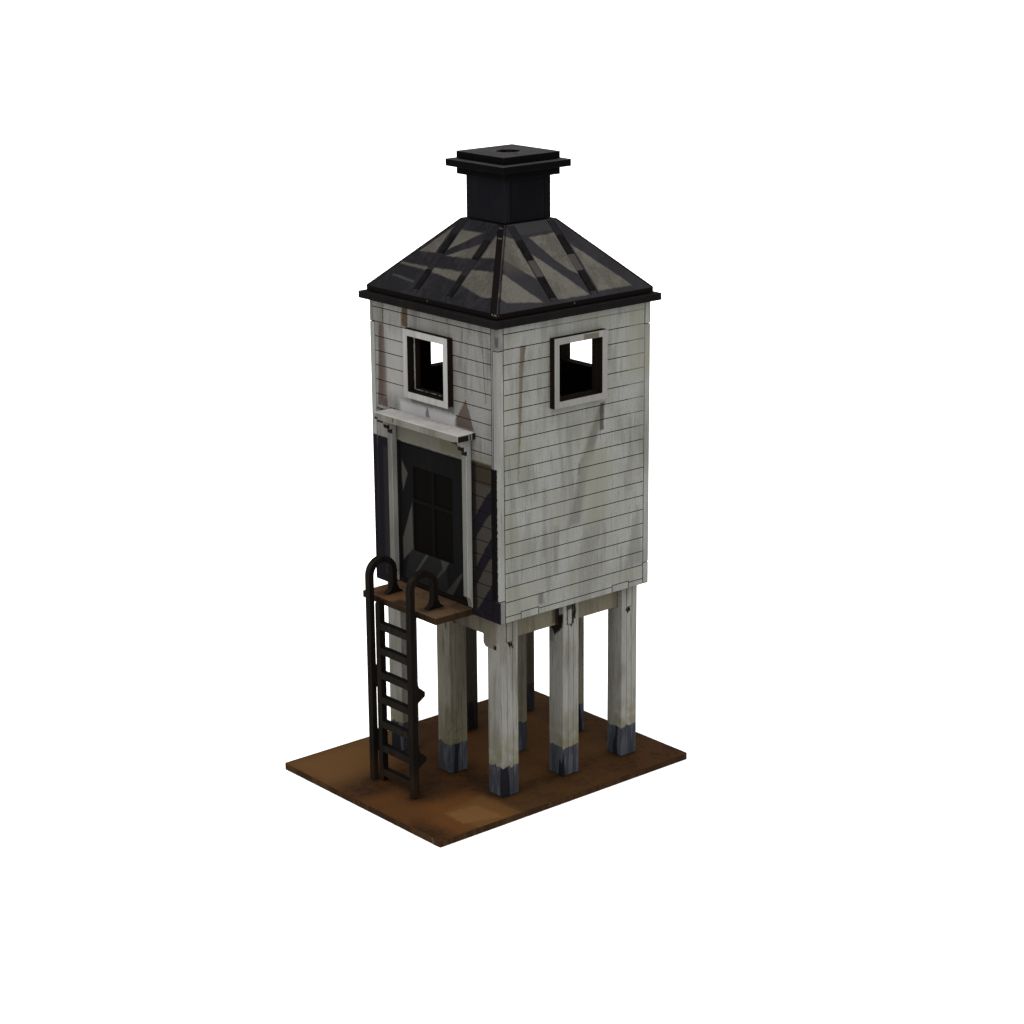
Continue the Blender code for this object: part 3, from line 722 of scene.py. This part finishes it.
# Dark paint, light paint and the light paint's wash
ROOF_PAINTS = {
    "front": (seen(30, 29, 32), seen(86, 83, 77), seen(70, 66, 61)),
    "right": (seen(46, 45, 48), seen(95, 92, 85), seen(77, 74, 69)),
}
HIP_PAINT = seen(17, 13, 12)
# The paints of a rib's upper and lower batten
RIB_BATTEN_PAINTS = {
    "front": (seen(30, 28, 32), seen(34, 32, 36)),
    "right": (seen(34, 32, 34), seen(66, 62, 59)),
}
# Where a slope's paint is a little duller or lighter
SLOPE_TONES = {
    "front": (),
    "right": (
        (seen(53, 53, 54), 0.9, 0.6, rect(-8.5, 9, 160.2, 163.6)),
        (seen(70, 67, 61), 0.6, 4.0, rect(-18, -12, 152, 161)),
    ),
}
# A slope's outer edge, darkened by the burn of the cut
LEFT_EDGE = ((BLACK_PAINT_AND_SHADE, 0.8, 0.3, ((-8.4, 163.4), (-8.9, 163.4), (-29, 143.2), (-28.3, 143.2))),)
# Chips in the paint of the cut edge: near the stack's foot, at the lower corner and halfway
ROOF_CHIPS = (
    (PALE_CHIP, 0.35, 0.2, rect(-16, -9, 159.7, 160.0), rect(-16, -9, 162.0, 162.3)),
    (PALE_CHIP, 0.6, 0.2, rect(-30, -28.2, 142.9, 143.4), rect(-1.2, -0.8, 142.4, 143.4)),
)
# Depths in millimetres between which the slope's face gives way to its cut edge, and the edge can chip
FACE_ENDS = (0.12, 0.2)
CHIPS_BEGIN = (0.4, 0.6)


def batten_patches(kind):
    """The upper and the lower batten of each rib, in paints of their own."""
    patches = []
    for (head, foot), paint in zip(RIB_BATTENS, RIB_BATTEN_PAINTS[kind]):
        edges = [((u - RIB_WIDTH / 2) / MM, (u + RIB_WIDTH / 2) / MM) for u in RIB_MIDDLES.values()]
        patches.append((paint, 1.0, 0.3, *[rect(left, right, foot, head) for left, right in edges]))
    return tuple(patches)


def roof_material(side, lights):
    """Dark paint with light patches. The left slope repeats the front's paints, and the rear the right's."""
    material, mix = new_material("roof paint " + side)
    kind = "front" if side in ("front", "left") else "right"
    dark, light, light_wash = ROOF_PAINTS[kind]
    place = face_place(mix, side)
    u, depth, z = mix.parts(place)
    ragged = ragged_parts(mix, place, scale=0.5, amount=0.7)
    flat = mix.combine(ragged[0], ragged[2])
    mask = lay_patches(mix, MASK_EMPTY, flat, lights)
    weathered = mix.group("weathered paint", place=place, paint=mix.over(mask, dark, light),
            wash=mix.over(mask, NAVY_GREY, light_wash), wash_amount=0.8, speckle=1.1, streaks=0.3)
    patches = SLOPE_TONES[kind] + batten_patches(kind) + LEFT_EDGE + mirrored(LEFT_EDGE)
    colour = lay_patches(mix, weathered["colour"], flat, patches)
    under = mix.minus(mix.plus(depth, (ROOF_HALF + ROOF_EDGE_TOP) / MM), z)
    colour = mix.over(mix.ramp(under, *FACE_ENDS), colour, HIP_PAINT)
    broken = mix.ramp(mix.noise(place, 2.2, 2.0), 0.44, 0.52)
    can_chip = mix.times(broken, mix.ramp(under, *CHIPS_BEGIN))
    colour = lay_patches(mix, colour, mix.combine(u, z), ROOF_CHIPS, can_chip)
    finish_material(mix, colour, weathered["height"])
    return material


# Boards in paints of their own

def board_material(name, side, face, cut_face=None, top=None, on_front=(), on_end=(),
        on_top=(), worn_edge=None, worn=0.5, ragged_amount=0.5, wash_amount=0.5, speckle=0.35, streaks=0.3):
    """A board: its outward face in one paint, its cut edges and top in others. A paint has its wash."""
    material, mix = new_material(name)
    place = face_place(mix, side)
    faces = board_faces(mix, side)
    paint, wash = face
    if cut_face:
        paint = mix.over(faces["front"], cut_face[0], paint)
        wash = mix.over(faces["front"], cut_face[1], wash)
    if top:
        paint = mix.over(faces["top"], paint, top[0])
        wash = mix.over(faces["top"], wash, top[1])
    weathered = mix.group("weathered paint", place=place, paint=paint, wash=wash, wash_amount=wash_amount,
            speckle=speckle, streaks=streaks)
    colour = weathered["colour"]
    u, depth, z = ragged_parts(mix, place, amount=ragged_amount)
    colour = lay_patches(mix, colour, mix.combine(u, z), on_front, faces["front"])
    colour = lay_patches(mix, colour, mix.combine(depth, z), on_end, faces["end"])
    colour = lay_patches(mix, colour, mix.combine(u, depth), on_top, faces["top"])
    if worn_edge:
        patchy = mix.times(faces["edge"], mix.ramp(mix.noise(place, 0.5), 0.35, 0.6))
        colour = mix.over(mix.times(patchy, worn), colour, worn_edge)
    finish_material(mix, colour, weathered["height"])
    return material


# Each paint with its wash, and single paints
BASE_TOP_PAINT = (seen(64, 42, 23), seen(47, 31, 18))
BASE_EDGE_PAINT = (seen(46, 32, 19), seen(64, 45, 25))
BASE_TAN = seen(98, 69, 38)
BASE_ORANGE = seen(93, 59, 29)
BASE_PALE = seen(112, 82, 48)
BASE_OLIVE = seen(76, 55, 31)
BASE_RED = seen(66, 41, 22)
BASE_GRIME_AND_SHADE = seen(38, 26, 16)
FRAME_FACE = (seen(161, 160, 157), seen(122, 119, 113))
FRAME_SIDE_FACE = (seen(136, 134, 131), seen(112, 110, 104))
BURNT_EDGE = (BURNT_AND_SHADE, seen(20, 15, 11))
DOOR_FACE = (seen(18, 17, 18), seen(23, 21, 22))
DOOR_GREY = seen(64, 63, 59)
DOOR_OLIVE = seen(31, 33, 31)
PANE = seen(8, 6, 5)
MULLION = seen(13, 11, 10)
POST_FACE = (seen(108, 107, 101), seen(86, 83, 73))
# The posts' ends in a lighter paint than their faces: painted light against the shade by the wall
POST_END_LIT = (seen(138, 138, 134), seen(112, 110, 102))
CANOPY_FRONT = (seen(118, 115, 109), seen(92, 89, 78))
# The canopy's top in a lighter paint than its front: painted light
CANOPY_LIT_TOP = (seen(180, 177, 175), seen(156, 153, 148))
LANDING_EDGE = (seen(46, 34, 23), seen(26, 19, 12))
LANDING_TOP = (seen(88, 69, 51), seen(66, 50, 36))
LANDING_RED = seen(98, 66, 44)
LANDING_PALE = seen(92, 74, 54)
LANDING_GRIME = seen(40, 29, 20)
LANDING_SCUFF = seen(38, 28, 20)
LANDING_STAIN_AND_SHADE = seen(44, 34, 25)
LANDING_WORN = seen(64, 50, 37)
LADDER_FACE = (seen(27, 24, 21), seen(36, 32, 28))
LADDER_EDGE = (seen(16, 14, 12), seen(24, 20, 16))
RAIL_FACE = (seen(23, 20, 17), seen(32, 28, 23))
RAIL_SIDE = (seen(17, 14, 12), seen(24, 20, 16))
RAIL_BROWN = seen(44, 30, 19)
RAIL_WORN = seen(36, 32, 28)
EAVES_FACE = (seen(20, 18, 18), seen(27, 24, 22))
# Worn paint with a painted highlight along the eaves plate's edges
EAVES_WEAR_AND_HIGHLIGHT = seen(44, 41, 40)
STACK_FACES = {"front": (seen(20, 20, 24), seen(26, 26, 29)), "right": (seen(14, 14, 16), seen(20, 19, 21))}
STACK_WORN = seen(34, 33, 34)
RIB_TAB_FACE = (seen(13, 12, 12), seen(19, 17, 17))
RIB_TAB_WORN = seen(30, 27, 26)
BEAM_FACE = (seen(108, 102, 88), seen(78, 73, 60))
HEAD_PLATE_FACE = (seen(104, 98, 88), seen(76, 70, 58))
CAP_SIDE = (seen(7, 7, 8), seen(10, 9, 10))
CAP_TOP = (seen(58, 56, 58), seen(68, 66, 67))
FLOOR_BOARD = (seen(46, 38, 28), seen(34, 28, 21))
DUST_LINE = seen(54, 51, 51)


# On the base, from left to right and from front to rear
BASE_PATCHES = (
    (BASE_TAN, 0.85, 14.0, rect(-38, -14, -60, -18)),
    (BASE_RED, 0.7, 12.0, rect(-30, 2, -30, 4)),
    (BASE_ORANGE, 0.7, 10.0, rect(2, 22, -58, -46)),
    (BASE_ORANGE, 0.8, 7.0, rect(15, 38, -52, -30)),
    (BASE_TAN, 0.7, 3.0, ((20, -29), (38, -28), (38, -44), (23, -45))),
    (BASE_PALE, 0.55, 1.2, ((24, -45), (32, -46), (36, -34), (24.5, -35))),
    # Lighter under the cabin: painted light against the shade beneath it
    (BASE_TAN, 0.45, 10.0, rect(-20, 20, -16, 24)),
    (BASE_RED, 0.4, 6.0, rect(5, 24, -56, -47)),
    (BASE_OLIVE, 0.3, 6.0, rect(26, 38, -30, 12)),
)
BASE_CHIP = (PALE_CHIP, 0.6, 0.2, rect(33.5, 33.8, 0.2, 1.9))
# Grime reaches this far round a leg's foot. The ladder's rails stand on the base at these places
GRIME_REACH = LEG_SIDE / 2 / MM + 0.8
RAIL_PLACES = (-9.4, 9.4)


def foot_grime_and_shade():
    """Grime on the base around each leg's foot, and stains with painted shadow round the ladder's two rails.
    """
    feet = []
    for x in (-LEG_PITCH / MM, 0.0, LEG_PITCH / MM):
        for y in (-LEG_PITCH / MM, 0.0, LEG_PITCH / MM):
            feet.append(rect(x - GRIME_REACH, x + GRIME_REACH, y - GRIME_REACH, y + GRIME_REACH))
    # Painted shadow with grime where each rail stands on the base
    rails = [rect(x - 1.6, x + 1.6, -47.5, -41.5) for x in RAIL_PLACES]
    return ((BASE_GRIME_AND_SHADE, 0.55, 2.4, *feet), (BASE_GRIME_AND_SHADE, 0.75, 2.5, *rails))


def base_material():
    return board_material("base paint", "front", BASE_EDGE_PAINT, top=BASE_TOP_PAINT,
            on_top=BASE_PATCHES + foot_grime_and_shade(), on_front=[BASE_CHIP], worn_edge=BASE_RED,
            worn=0.6, ragged_amount=3.5, wash_amount=0.9, speckle=1.2, streaks=0.1)


DOOR_PATCHES = (
    (DOOR_OLIVE, 0.85, 1.6, ((-14.8, 57.2), (6.5, 57.2), (4.0, 68.4), (-11.5, 70.5))),
    (DOOR_GREY, 0.9, 0.5, ((-14.8, 94.5), (-12.2, 91), (-14.5, 85.5), (-15, 90)),
     ((-10.4, 82.5), (-15, 71), (-14.9, 64.5), (-10.2, 69))),
    (DOOR_GREY, 0.8, 0.5, ((-3.8, 69.2), (-2.5, 69.2), (-9.1, 61.5), (-9.9, 61.5))),
    (DOOR_GREY, 0.5, 0.5, ((-9.9, 61.5), (-9.1, 61.5), (-13.2, 57.8), (-13.8, 57.8))),
    (DOOR_GREY, 0.7, 0.5, ((2, 69.3), (6.8, 69.3), (4.6, 66), (3.2, 66))),
    (DOOR_GREY, 0.6, 0.5, ((3.2, 66), (4.6, 66), (1.2, 62.8), (0.4, 62.8))),
    (DOOR_GREY, 0.5, 0.5, ((11.5, 66.5), (12.5, 66.5), (7, 58), (3.5, 58))),
    # Painted shadow in the gap between the door's left edge and the left post
    (BLACK_PAINT_AND_SHADE, 0.9, 0.6, rect(-18, -15.2, 57, 101)),
    (MULLION, 1, 0.2, rect(-9.8, 8.2, 68.4, 93.7)),
)
PANE_COLUMNS = ((-9.7, -1.35), (-0.25, 8.1))
PANE_ROWS = ((68.5, 82.95), (84.05, 93.6))


def door_material():
    panes = [rect(*column, *row) for column in PANE_COLUMNS for row in PANE_ROWS]
    patches = DOOR_PATCHES + ((PANE, 1, 0.15, *panes),)
    return board_material("door paint", "front", DOOR_FACE, BURNT_EDGE, on_front=patches, ragged_amount=0.2)


def frame_material(side):
    """The front window's frame is brighter than the others and has a chip, and theirs are smudged."""
    if side == "front":
        chip = (PALE_CHIP, 0.7, 0.4, rect(-31, -28, 114, 114.6))
        return board_material("frame paint front", side, FRAME_FACE, BURNT_EDGE, on_end=[chip])
    smudge = (STAIN_BROWN, 0.8, 0.6, rect(1, 6.6, 132.2, 134.1))
    return board_material("frame paint " + side, side, FRAME_SIDE_FACE, BURNT_EDGE, on_front=[smudge])


# Burns on the canopy's end and spots on its front, those by the posts' heads with painted shadow; burns and
# painted shade on the posts' outer sides
CANOPY_BURNS = (
    (BURNT_AND_SHADE, 1, 0.2, rect(-34.7, -31.0, 107.1, 108.7), rect(-30.6, -30.2, 107.2, 108.9),
     rect(-29.7, -28.6, 106.9, 109.1)),
)
CANOPY_SPOTS_AND_SHADOWS = (
    # Burns with painted shadow where the canopy's underside meets the posts' heads
    (BURNT_AND_SHADE, 1, 0.2, rect(-19, -17.3, 106.9, 107.7), rect(17.4, 19, 106.9, 107.3)),
    (BURNT_AND_SHADE, 0.8, 0.3, rect(-10.4, -9.9, 107.6, 108.6)),
)
POST_BURNS = (
    (BURNT_AND_SHADE, 1, 0.15, rect(-32.2, -31.2, 103.6, 105.0), rect(-34.6, -33.5, 106.1, 107)),
    (BURNT_AND_SHADE, 1, 0.2, rect(-31.4, -30.2, 102.3, 103.6)),
    # Painted shade down the posts' sides where they meet the wall
    (BURNT_AND_SHADE, 0.7, 0.4, rect(-28.8, -28.2, 56, 107)),
)


def canopy_material():
    # The top is painted lighter than the front: painted light
    return board_material("canopy paint", "front", CANOPY_FRONT, CANOPY_FRONT, CANOPY_LIT_TOP,
            on_front=CANOPY_SPOTS_AND_SHADOWS, on_end=CANOPY_BURNS, worn_edge=FRAME_FACE[0],
            ragged_amount=0.25, wash_amount=0.7)


def post_material():
    material, mix = new_material("post paint")
    place = face_place(mix)
    depth, z = mix.parts(place)[1:]
    ends = board_faces(mix)["end"]
    # The ends are painted lighter than the faces: painted light
    weathered = mix.group("weathered paint", place=place, paint=mix.over(ends, POST_FACE[0], POST_END_LIT[0]),
            wash=mix.over(ends, POST_FACE[1], POST_END_LIT[1]), wash_amount=0.7, speckle=0.4, streaks=0.6)
    colour = lay_patches(mix, weathered["colour"], mix.combine(depth, z), POST_BURNS)
    finish_material(mix, colour, weathered["height"])
    return material


def rail_material():
    patches = [(RAIL_BROWN, 0.7, 8.0, rect(-60, 60, 0, 9))]
    return board_material("rail paint", "front", RAIL_FACE, RAIL_SIDE, on_front=patches, on_end=patches,
            worn_edge=RAIL_WORN, wash_amount=0.6)


def cap_material():
    spot = (BLACK_PAINT_AND_SHADE, 1, 0.3, rect(4.6, 6.2, -2.4, -1.6))
    return board_material("cap paint", "front", CAP_SIDE, top=CAP_TOP, on_top=[spot], worn_edge=DUST_LINE,
            worn=0.25, wash_amount=0.7, speckle=0.5, streaks=0.0)


# Legs and the boards in their heads

LEG_PAINT = seen(134, 133, 127)
LEG_WASH = seen(98, 95, 84)
# Inner legs: duller, browner paint, grime with painted shade; the wash also paints shade on one face of each
# leg
LEG_GRIMY_AND_SHADED = seen(125, 120, 109)
LEG_WASH_AND_SHADE = seen(80, 75, 62)
LEG_GREEN = seen(108, 103, 78)
FOOT_BLUE = seen(55, 57, 62)
FOOT_LIGHT = seen(74, 76, 82)
FOOT_NAVY = seen(30, 29, 34)
FOOT_PALE = seen(92, 93, 96)
# Heights in millimetres: the foot's paint and how uneven its edge is, and where grime and the brown painted
# shade fade
FOOT_TOP = 11.2
FOOT_UNEVEN = 3.0
GRIME_FADES = (10.0, 27.0)
SHADE_GRIME_FADES = (4.0, 40.0)
# Each kind of leg: its paint, its wash, the face that gets painted shade and how much of it
OUTER_LEG = (LEG_PAINT, LEG_WASH, "front", 0.08)
INNER_LEG = (LEG_GRIMY_AND_SHADED, LEG_WASH_AND_SHADE, "end", 0.5)
OUTER_LEGS = ("leg_front_left", "leg_front_right", "leg_middle_right", "leg_rear_right")
# Legs whose inner sides are browned by grime and painted shade, darker towards the foot
SHADED_GRIMY_LEGS = ("leg_middle_left", "leg_rear_left")
SHADE_GRIME_HIGH = seen(62, 54, 45)
SHADE_GRIME_LOW = seen(33, 28, 25)
# Burns round the slot at a leg's head, across the face and up
SLOT_BURNS = (
    (BURNT_AND_SHADE, 0.8, 0.5, rect(-1.6, -1.0, 48.8, 56)), (BURNT_AND_SHADE, 1, 0.5, rect(0.9, 1.9, 50, 56)),
)
HEAD_BURNS = {
    "leg_front_right": (
        (BURNT_AND_SHADE, 1, 0.3, ((-1.5, 49.9), (0.3, 46.6), (0.2, 48.6)),
         ((-0.4, 48.4), (1.6, 46.2), (0.8, 48.6))),
        (BURNT_AND_SHADE, 0.5, 0.4, rect(-1.4, -1.1, 49, 55)),
    ),
    "leg_middle_right": SLOT_BURNS + ((BURNT_AND_SHADE, 0.9, 0.3, ((-0.9, 49.4), (0.2, 47.4), (0.8, 49.2))),),
    "leg_rear_right": ((BURNT_AND_SHADE, 1, 0.3, ((-1.7, 48.3), (-0.9, 46.8), (0.5, 47.6), (-0.1, 48.9))),),
}
LEG_STAINS = {
    "leg_front_centre": (
        (BURNT_AND_SHADE, 1, 0.8, ((-1.4, 56), (3.2, 56), (1.6, 49.5))),
        (BURNT_AND_SHADE, 0.7, 0.8, rect(0.9, 1.6, 47, 52)),
    ),
    "leg_middle_right": (
        (BURNT_AND_SHADE, 1, 0.8, ((19.4, 50.6), (26.4, 52.4), (25.9, 48.2), (22.6, 45.0))),
        (BURNT_AND_SHADE, 1, 0.6, ((19.4, 50), (23.2, 50), (22.4, 46.4), (20.4, 47.4))),
        (BURNT_AND_SHADE, 0.4, 1.6, rect(18.5, 22.2, 43, 48)),
    ),
}
HEAD_PLATE_BURN = (BURNT_AND_SHADE, 1, 0.4, rect(22.9, 24.4, 46, 47.6))
# Burns on the beams' outer faces, from front to rear and up
BEAM_STAINS = (
    (DRIP_BROWN, 0.85, 1.2, rect(-5.4, -2.6, 49.5, 56)),
    (BURNT_AND_SHADE, 0.9, 0.8, rect(-4.2, -2.4, 47.5, 54)),
    (BURNT_AND_SHADE, 0.95, 0.3, rect(0.3, 1.3, 47.4, 56)),
    (BURNT_AND_SHADE, 0.9, 0.3, rect(-1.3, 1.3, 47.4, 48.2)),
    (BURNT_AND_SHADE, 0.8, 0.5, rect(-1.3, 1.3, 53.2, 56)),
)
# On the landing, from left to right and from its front edge at -42.1 to the rear
LANDING_STAINS = (
    (LANDING_RED, 0.7, 4.0, rect(-17, -4, -43, -36)),
    (LANDING_GRIME, 0.8, 2.0, rect(-3, 3, -43, -39)),
    (LANDING_SCUFF, 0.7, 2.4, rect(7, 12, -41, -34)),
    (LANDING_SCUFF, 0.6, 2.4, rect(-13, -8, -41, -34)),
    # A dark stain with painted shadow at the right post's foot
    (LANDING_STAIN_AND_SHADE, 0.6, 2.4, rect(10, 17, -33, -28)),
    (LANDING_PALE, 0.6, 2.0, rect(11, 17, -43, -37)),
)
LADDER_FOOT = (RAIL_BROWN, 0.7, 5.0, rect(-20, 20, 0, 7))


def leg_colour(mix, place, faces, kind):
    """Brushed grey paint, with green grime low down and a blue-grey foot."""
    own_paint, wash, shaded_face, shade_amount = kind
    z = mix.parts(place)[2]
    # One face of each leg darkened: painted shade
    paint = mix.over(mix.times(faces[shaded_face], shade_amount), own_paint, LEG_WASH_AND_SHADE)
    weathered = mix.group("weathered paint", place=place, paint=paint, wash=wash, wash_amount=0.8,
            speckle=0.8, streaks=1.0)
    low_down = mix.inverse(mix.ramp(z, *GRIME_FADES))
    grime = mix.times(mix.ramp(mix.noise(place, 0.35), 0.35, 0.6), low_down)
    colour = mix.over(mix.times(grime, 0.75), weathered["colour"], LEG_GREEN)
    foot_top = mix.plus(mix.swing(mix.strokes(place, 0.05, 0.55, 4.0, 0.6), FOOT_UNEVEN), FOOT_TOP)
    foot = mix.ramp(mix.minus(foot_top, z), -0.15, 0.15)
    dark = mix.ramp(mix.strokes(place, 0.12, 0.24, 1.0, 0.5), 0.54, 0.57)
    pale = mix.ramp(mix.strokes(place, 0.2, 0.5, 2.0), 0.45, 0.6)
    scratch = mix.ramp(mix.strokes(place, 0.3, 1.6, 2.0), 0.7, 0.76)
    foot_paint = mix.over(dark, mix.over(pale, FOOT_BLUE, FOOT_LIGHT), FOOT_NAVY)
    foot_paint = mix.over(scratch, foot_paint, FOOT_PALE)
    return mix.over(foot, colour, foot_paint), weathered["height"]


def leg_material(node_name):
    material, mix = new_material(node_name.replace("_", " ") + " paint")
    place = face_place(mix)
    faces = board_faces(mix)
    colour, height = leg_colour(mix, place, faces, OUTER_LEG if node_name in OUTER_LEGS else INNER_LEG)
    u, depth, z = ragged_parts(mix, place)
    if node_name in SHADED_GRIMY_LEGS:
        # Painted shade with brown grime on these legs' inner sides, darker towards the foot
        shade_grime = mix.over(mix.ramp(z, *SHADE_GRIME_FADES), SHADE_GRIME_LOW, SHADE_GRIME_HIGH)
        colour = mix.over(mix.times(faces["end"], 0.8), colour, shade_grime)
    middle = (sum(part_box(node_name), Vector()) / 2 - CABIN_MIDDLE) / MM
    across = mix.combine(mix.minus(depth, middle.y), z)
    colour = lay_patches(mix, colour, across, HEAD_BURNS.get(node_name, SLOT_BURNS), faces["end"])
    colour = lay_patches(mix, colour, mix.combine(u, z), LEG_STAINS.get(node_name, ()), faces["front"])
    finish_material(mix, colour, height)
    return material


def inner_material(name, paint, outer_paint, outer_reach, front_paint=None, stains=()):
    """A board that is bare inside and painted like its surroundings where its ends come through."""
    material, mix = new_material(name)
    place = face_place(mix)
    x, y, z = mix.parts(place)
    farthest = mix.calc("MAXIMUM", mix.calc("ABSOLUTE", x), mix.calc("ABSOLUTE", y))
    outside = at_reach(mix, farthest, outer_reach / MM)
    weathered = mix.group("weathered paint", place=place, paint=mix.over(outside, paint[0], outer_paint[0]),
            wash=mix.over(outside, paint[1], outer_paint[1]), wash_amount=0.7, speckle=0.4, streaks=0.4)
    ragged = ragged_parts(mix, place)
    sideways = board_faces(mix)["end"]
    colour = lay_patches(mix, weathered["colour"], mix.combine(ragged[1], ragged[2]), stains, sideways)
    if front_paint:
        at_front = at_reach(mix, mix.times(y, -1.0), outer_reach / MM)
        colour = mix.over(at_front, colour, front_paint)
    finish_material(mix, colour, weathered["height"])
    return material


def stack_material(side):
    faces = STACK_FACES["front" if side in ("front", "left") else "right"]
    return board_material("stack paint " + side, side, faces, worn_edge=STACK_WORN, wash_amount=0.6,
            streaks=0.2)


make_patch_group()
make_ragged_group()
make_weather_group()
make_faces_group()

SHARED_FINISHES = {
    "base_paint": base_material(),
    "beam_paint": inner_material("beam paint", BEAM_FACE, (LEG_PAINT, LEG_WASH), LEG_OUTER,
        stains=BEAM_STAINS),
    "floor_board": inner_material("floor board", FLOOR_BOARD, (WALL_LIGHT, WALL_WASH), CABIN_HALF, NAVY),
    "door_paint": door_material(),
    "post_paint": post_material(),
    "canopy_paint": canopy_material(),
    "landing_paint": board_material("landing paint", "front", LANDING_EDGE, LANDING_EDGE, LANDING_TOP,
        on_top=LANDING_STAINS, wash_amount=0.9, worn_edge=LANDING_WORN, speckle=0.7, streaks=0.2),
    "ladder_paint": board_material("ladder paint", "front", LADDER_FACE, LADDER_EDGE, wash_amount=0.8,
        on_front=[LADDER_FOOT]),
    "rail_paint": rail_material(),
    # The eaves plate's worn edges also carry a painted highlight
    "eaves_paint": board_material("eaves paint", "front", EAVES_FACE, worn_edge=EAVES_WEAR_AND_HIGHLIGHT, worn=0.4,
        wash_amount=0.6, streaks=0.0),
    "cap_paint": cap_material(),
}
RIB_TAB_PAINT = board_material("rib tab paint", "front", RIB_TAB_FACE, worn_edge=RIB_TAB_WORN, streaks=0.0)
HEAD_PLATE_PAINT = board_material("head plate paint", "front", HEAD_PLATE_FACE, on_front=[HEAD_PLATE_BURN])


def own_finish(node_name, slot):
    """The finish of a node whose paint is its own, or the one that its slot shares."""
    side = node_name.rsplit("_", 1)[-1]
    if slot == "frame_paint":
        return frame_material(side)
    if slot == "stack_paint":
        return stack_material(side)
    return SHARED_FINISHES[slot]


# Each side: the wall's engraved rows and uprights, its patches, those on its end and which end, and the
# roof's light patches
SIDE_LOOKS = {
    "front": (FRONT_ROWS, FRONT_UPRIGHTS, FRONT_PATCHES, (), 1, FRONT_ROOF_LIGHTS),
    "right": (SIDE_ROWS, SIDE_UPRIGHTS, SIDE_DRIPS + SIDE_DIRT, RIGHT_WALL_END, -1, SIDE_ROOF_LIGHTS),
    "rear": (SIDE_ROWS, SIDE_UPRIGHTS, mirrored(SIDE_DRIPS) + SIDE_DIRT, (), 1, FRONT_ROOF_LIGHTS),
    "left": (SIDE_ROWS, SIDE_UPRIGHTS, mirrored(SIDE_DIRT), LEFT_WALL_END, 1, SIDE_ROOF_LIGHTS),
}
for side, (rows, uprights, patches, on_end, end_sign, lights) in SIDE_LOOKS.items():
    make_wall(side, rows, uprights, wall_material(side, patches, on_end, end_sign))
    make_roof(side, roof_material(side, lights), RIB_TAB_PAINT)

for row in frame["record"]["subparts"]:
    node_name, slot = row["node"], row["material_slot"]
    if slot in ("wall_paint", "roof_paint"):
        continue
    if slot == "leg_paint":
        make_leg(node_name, leg_material(node_name))
    else:
        hand_over(remade(node_name), node_name, own_finish(node_name, slot))

for row in ("front", "rear"):
    for column in ("left", "right"):
        make_head_plate(row, column, HEAD_PLATE_PAINT)

# Studio floor, light and camera

FLOOR_SIZE = 24.0
FLOOR_DROP = 0.0001
FLOOR_WHITE = 0.9
FLOOR_ROUGHNESS = 0.9
FLOOR_SHINE = 0.1
AIR_STRENGTH = 1.42
SUN_PLACE = (0.4, -0.5, 1.0)
SUN_STRENGTH = 3.3
SUN_ANGLE = math.radians(90.0)
CAMERA_TARGET = Vector((-0.000705, 0.011279, 0.07614))
CAMERA_AZIMUTH = math.radians(49.6605)
CAMERA_ELEVATION = math.radians(16.507)
CAMERA_DISTANCE = 0.670555
CAMERA_ROLL = math.radians(-0.4654)
CAMERA_LENS = 80.52
CAMERA_SENSOR = 36.0


def make_floor():
    bpy.ops.object.select_all(action="DESELECT")
    bpy.ops.mesh.primitive_plane_add(size=FLOOR_SIZE, location=(0.0, 0.0, -FLOOR_DROP))
    floor = bpy.context.active_object
    floor.name = "studio_floor"
    material, mix = new_material("floor paper")
    white = (FLOOR_WHITE, FLOOR_WHITE, FLOOR_WHITE, 1.0)
    look = {"Base Color": white, "Roughness": FLOOR_ROUGHNESS, "Specular IOR Level": FLOOR_SHINE}
    shader = mix.node("ShaderNodeBsdfPrincipled", look)
    mix.feed(mix.node("ShaderNodeOutputMaterial").inputs["Surface"], shader.outputs[0])
    floor.data.materials.append(material)


def make_sun():
    light = bpy.data.lights.new("soft sun", "SUN")
    light.energy = SUN_STRENGTH
    light.angle = SUN_ANGLE
    lamp = bpy.data.objects.new("soft sun", light)
    lamp.rotation_euler = (-Vector(SUN_PLACE)).to_track_quat("-Z", "Y").to_euler()
    bpy.context.scene.collection.objects.link(lamp)


def make_air():
    world = bpy.data.worlds.new("studio air")
    world.use_nodes = True
    world.node_tree.nodes["Background"].inputs["Color"].default_value = (1.0, 1.0, 1.0, 1.0)
    world.node_tree.nodes["Background"].inputs["Strength"].default_value = AIR_STRENGTH
    bpy.context.scene.world = world


def make_camera():
    flat = math.cos(CAMERA_ELEVATION)
    sideways = math.sin(CAMERA_AZIMUTH) * flat
    back = Vector((sideways, -math.cos(CAMERA_AZIMUTH) * flat, math.sin(CAMERA_ELEVATION)))
    lens = bpy.data.cameras.new("view")
    lens.lens = CAMERA_LENS
    lens.sensor_width = CAMERA_SENSOR
    camera = bpy.data.objects.new("view", lens)
    camera.location = CAMERA_TARGET + back * CAMERA_DISTANCE
    roll = Quaternion((0.0, 0.0, 1.0), CAMERA_ROLL)
    camera.rotation_mode = "QUATERNION"
    camera.rotation_quaternion = (-back).to_track_quat("-Z", "Y") @ roll
    bpy.context.scene.collection.objects.link(camera)
    bpy.context.scene.camera = camera


make_floor()
make_air()
make_sun()
make_camera()
bpy.context.scene.view_settings.view_transform = "Standard"
